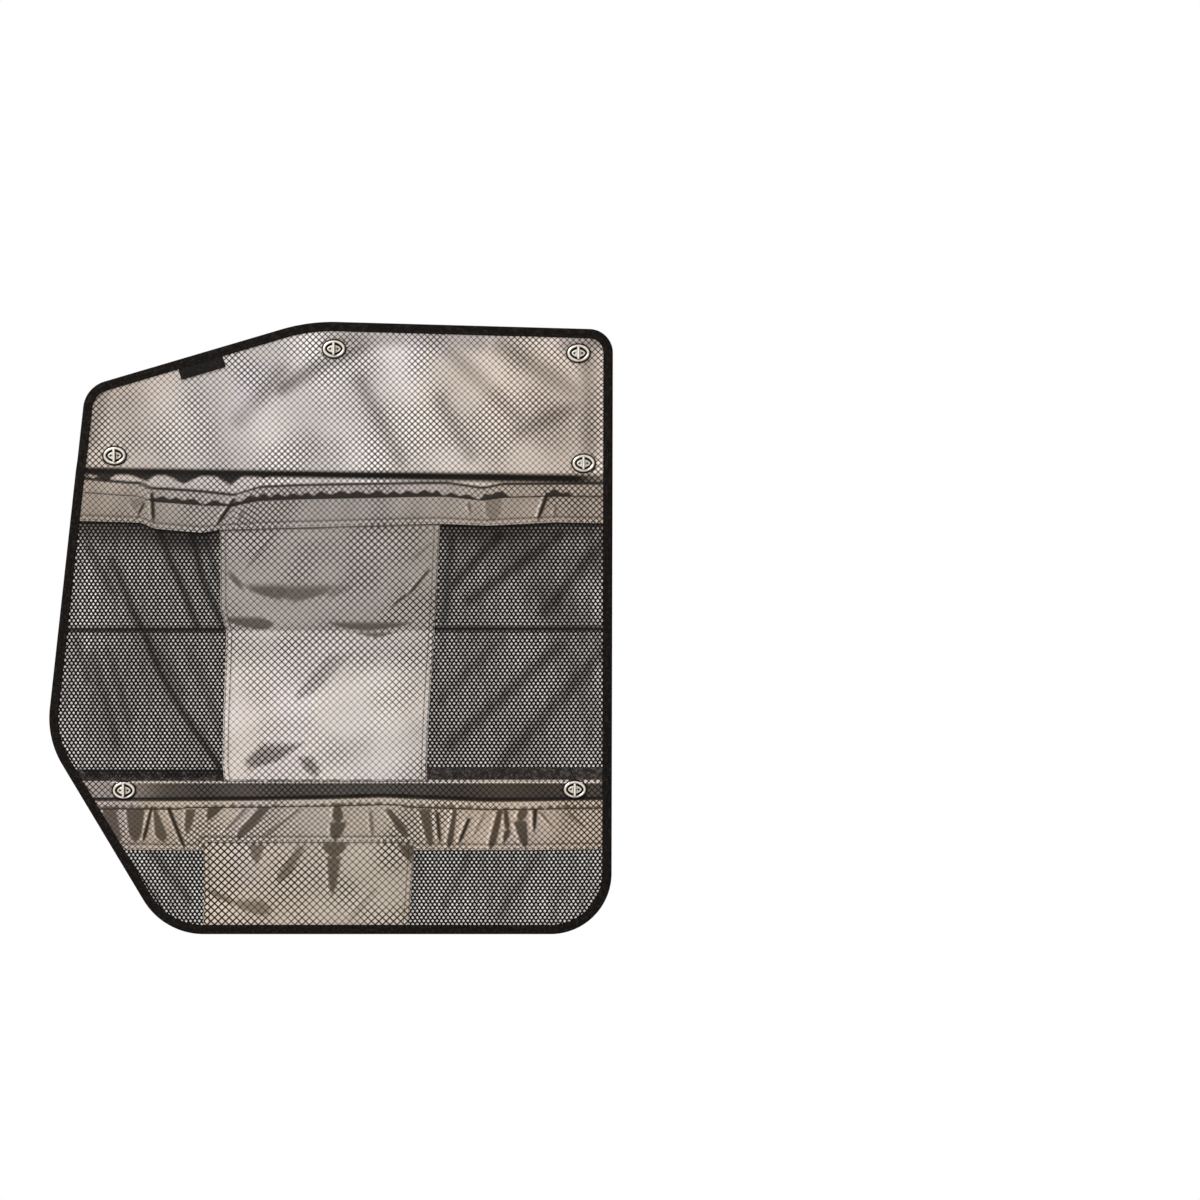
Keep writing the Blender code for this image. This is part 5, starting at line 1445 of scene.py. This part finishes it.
# %% [markdown]
# ## Turn buttons
#
# Each button has three parts that show: an eyelet pressed through the cloth, the stud base inside it, and the turning
# head, a narrow bar on a spindle. We stack ovals: each has two half widths, a squareness, a height and a brightness
# of painted light and shade, and the skin runs from one to the next. A squareness below 2 gives the pointed oval of the
# opening and of the stud. The stud's two screw holes are dimples with painted shade inside, and its flange behind the
# cloth closes the view through the opening. The plates and washers behind the cloth keep their solids from the frame.

# %% Stack ovals into a solid
ROUND = 48
SCREW_PLACES = (-0.0037, 0.0037)
SCREW_RADIUS, SCREW_DEPTH = 0.00075, 0.0009


def oval(half_x, half_z, squareness):
    """Points round an oval."""
    turn = np.arange(ROUND) * 2 * pi / ROUND
    return [half * np.sign(wave) * np.abs(wave) ** (2 / squareness)
            for half, wave in ((half_x, np.cos(turn)), (half_z, np.sin(turn)))]


def stack(name, place, ovals, closed, body, nodes, holes=()):
    """A solid of nickel plate from ovals in mm: (half x, half z, squareness, out, brightness of painted light and
    shade).

    A closed one is a ring, whose last oval joins its first. Screw holes are sunk into the front face.
    """
    rings, clean = [], []
    for half_x, half_z, squareness, out, brightness in ovals:
        x, z = oval(half_x / 1000, half_z / 1000, squareness)
        sunk = 0 * x
        if out > 1:
            sunk = sunk + sum(line_at(np.hypot(x - hole, z), SCREW_RADIUS, core=1.9) for hole in holes)
        rings.append(np.stack([place[0] + x, out / 1000 - SCREW_DEPTH * sunk, place[1] + z], axis=1))
        # Painted shade inside the screw holes.
        clean.append(brightness * (1 - sunk))
    faces = grid_faces(len(rings), ROUND, join_rows=closed, join_columns=True)
    flat = np.concatenate(rings)
    piece = mesh_from(name, flat.T, faces, flat[:, 0], flat[:, 2], np.concatenate(clean))
    with edited(piece.data) as bm:
        if not closed:
            bmesh.ops.holes_fill(bm, edges=[e for e in bm.edges if e.is_boundary], sides=ROUND)
        bmesh.ops.recalc_face_normals(bm, faces=bm.faces)
        for edge in bm.edges:
            edge.smooth = len(edge.link_faces) < 2 or edge.calc_face_angle() < radians(50)
    fit(piece, nickel_plate, nodes, body)


# The eyelet is a profile (inset, out, brightness of painted light and shade) carried round an oval. Its squareness
# falls inwards. Its dark foot on the cloth is a painted shadow round the ring, and its inner wall is painted dark.
EYELET_PROFILE = (
    (-1.30, 0.05, 0.00), (-1.20, 0.34, 0.00), (-0.10, 0.38, 0.00), (0.00, 0.50, 0.30), (0.12, 0.85, 0.95),
    (0.40, 1.30, 1.00), (0.80, 1.68, 1.00), (1.30, 1.88, 1.00), (1.80, 1.90, 1.00), (2.20, 1.75, 1.00),
    (2.50, 1.45, 0.90), (2.72, 1.00, 0.10), (2.95, 0.20, 0.00), (3.00, -0.60, 0.00), (3.00, -2.30, 0.00),
    (2.62, -2.30, 0.00), (2.62, -0.20, 0.00), (2.30, -0.05, 0.00), (-1.25, -0.05, 0.00),
)
STUD_OVALS = (
    (8.90, 6.50, 2.0, -3.98, 1.0), (9.00, 6.60, 2.0, -3.80, 0.6), (8.90, 6.50, 2.0, -3.45, 0.0),
    (7.10, 4.45, 2.0, -3.35, 0.0), (7.05, 4.40, 2.0, -0.60, 0.0), (6.98, 4.30, 1.8, -0.10, 0.0),
    (6.92, 4.20, 1.7, 0.60, 0.2), (6.72, 4.00, 1.65, 0.98, 0.8), (6.45, 3.75, 1.65, 1.10, 0.85),
    *((6.45 - 0.55 * k, 3.75 - 0.30 * k, 1.65 + 0.03 * k, 1.10, 0.80) for k in range(1, 11)),
)
HEAD_OVALS = (
    (1.80, 1.80, 2, -3.65, 0.5), (1.88, 1.88, 2, -3.45, 0.5), (1.88, 1.88, 2, -3.05, 0.5), (1.72, 1.72, 2, -2.92, 0.3),
    (1.08, 1.08, 2, -2.92, 0.2), (1.08, 1.08, 2, 1.15, 0.1), (1.95, 1.95, 2, 1.15, 0.1), (1.95, 1.95, 2, 2.25, 0.3),
    (1.20, 6.40, 6, 2.25, 0.0), (1.32, 6.62, 6, 2.55, 0.0), (1.34, 6.70, 6, 3.20, 0.1), (1.30, 6.66, 6, 4.60, 0.3),
    (1.12, 6.45, 5, 5.10, 0.8), (0.80, 6.10, 4, 5.35, 1.0), (0.35, 5.50, 3, 5.40, 1.0),
)
for name, place in BUTTONS.items():
    ring = [(*(side * 500 - inset for side in EYELET_SIZE), 2 - 0.30 * smooth((inset - 1.2) / 1.8), out, brightness)
            for inset, out, brightness in EYELET_PROFILE]
    stack(f"eyelet_ring_{name}", place, ring, True, "pouch", [f"eyelet_{name}"])
    stack(f"turn_bar_{name}", place, HEAD_OVALS, False, f"head_{name}", [f"turn_head_{name}"])
    stack(f"stud_{name}", place, STUD_OVALS, False, "pouch", [f"stud_base_{name}"], SCREW_PLACES)
    for kept in ("eyelet_plate", "spring_washer"):
        for slot in frame["nodes"][f"{kept}_{name}"].material_slots:
            slot.material = nickel_back
print("turn buttons:", len(BUTTONS))

# %% [markdown]
# ## Camera
#
# The photograph looks at the pouch squarely, with the pouch to the left of its middle, so the camera stands to the
# right of the pouch. A long lens some way off keeps it flat, where a short lens close by would bend its sides.

# %% Camera
scene = bpy.context.scene
camera_data = bpy.data.cameras.new("camera")
camera_data.lens = 72
camera_data.sensor_width = 36
camera = bpy.data.objects.new("camera", camera_data)
camera.location = (0.2685, PANEL_PLANE - 2.4, 0.028)
camera.rotation_euler = (radians(90), 0, 0)
scene.collection.objects.link(camera)
scene.camera = camera
print("camera at", [round(v, 3) for v in camera.location])

# %% [markdown]
# ## Lamps
#
# One large soft lamp stands up to the left. A weaker one beside the camera lights the silver behind the nets, which
# would else lie in the nets' own shade. A third lights the back, which other views show.

# %% Lamps
def lamp(name, place, power, size, mirrored):
    """A square soft lamp that looks at the middle of the pouch, and may show in its metal."""
    data = bpy.data.lights.new(name, 'AREA')
    data.energy = power
    data.size = size
    made = bpy.data.objects.new(name, data)
    made.location = place
    made.visible_glossy = mirrored
    towards = -np.array(place)
    flat = hypot(towards[0], towards[1])
    made.rotation_euler = (pi / 2 + atan2(towards[2], flat), 0, atan2(-towards[0], towards[1]))
    scene.collection.objects.link(made)


lamp("lamp_left", (-1.6, -1.5, 1.9), power=73, size=0.9, mirrored=True)
lamp("lamp_front", (0.27, -2.6, 0.08), power=42, size=0.3, mirrored=False)
lamp("lamp_back", (1.5, 2.2, 1.4), power=60, size=0.9, mirrored=True)
print("lamps set")

# %% [markdown]
# ## World and floor
#
# The world adds an even fill. It is white only for the camera, for reflections and through clear things, which gives
# the plain white background without more light on the cloth. The floor lies well below the pouch.

# %% World and floor
world = bpy.data.worlds.new("studio")
scene.world = world
world.use_nodes = True
tree = world.node_tree
FILL_STRENGTH = 0.14
soft, white = tree.nodes["Background"], tree.nodes.new("ShaderNodeBackground")
for background, strength in ((soft, FILL_STRENGTH), (white, 1.0)):
    background.inputs[0].default_value = (1, 1, 1, 1)
    background.inputs[1].default_value = strength
path = tree.nodes.new("ShaderNodeLightPath")
shown_white = path.outputs["Is Camera Ray"]
for ray in ("Is Glossy Ray", "Is Transmission Ray"):
    either = tree.nodes.new("ShaderNodeMath")
    either.operation = 'MAXIMUM'
    tree.links.new(shown_white, either.inputs[0])
    tree.links.new(path.outputs[ray], either.inputs[1])
    shown_white = either.outputs[0]
choice = tree.nodes.new("ShaderNodeMixShader")
for k, output in enumerate((shown_white, soft.outputs[0], white.outputs[0])):
    tree.links.new(output, choice.inputs[k])
tree.links.new(choice.outputs[0], tree.nodes["World Output"].inputs[0])
scene.view_settings.view_transform = 'Standard'

floor_mesh = bpy.data.meshes.new("floor")
with edited(floor_mesh) as bm:
    bmesh.ops.create_circle(bm, cap_ends=True, segments=128, radius=1.6)
floor = bpy.data.objects.new("floor", floor_mesh)
floor.location.z = -1.0
scene.collection.objects.link(floor)
pale = Finish("pale_floor", Roughness=0.8)
floor_mesh.materials.append(pale.feed(Base_Color=pale.colour(pale.noise(3.0), (0.80, 0.80, 0.79), (0.84, 0.84, 0.83))))
print("world and floor set")

# %% [markdown]
# ## Count the triangles
#
# We count the triangles of every dressed piece, with its modifiers.

# %% Triangles, and the end
with_modifiers = bpy.context.evaluated_depsgraph_get()
triangles = {}
for piece in scene.objects:
    if piece.type == 'MESH' and piece not in frame["nodes"].values():
        final = piece.evaluated_get(with_modifiers)
        triangles[piece.name] = sum(len(p.vertices) - 2 for p in final.to_mesh().polygons)
        final.to_mesh_clear()
print("triangles:", sum(triangles.values()), "largest:", max(triangles.items(), key=lambda s: s[1]))
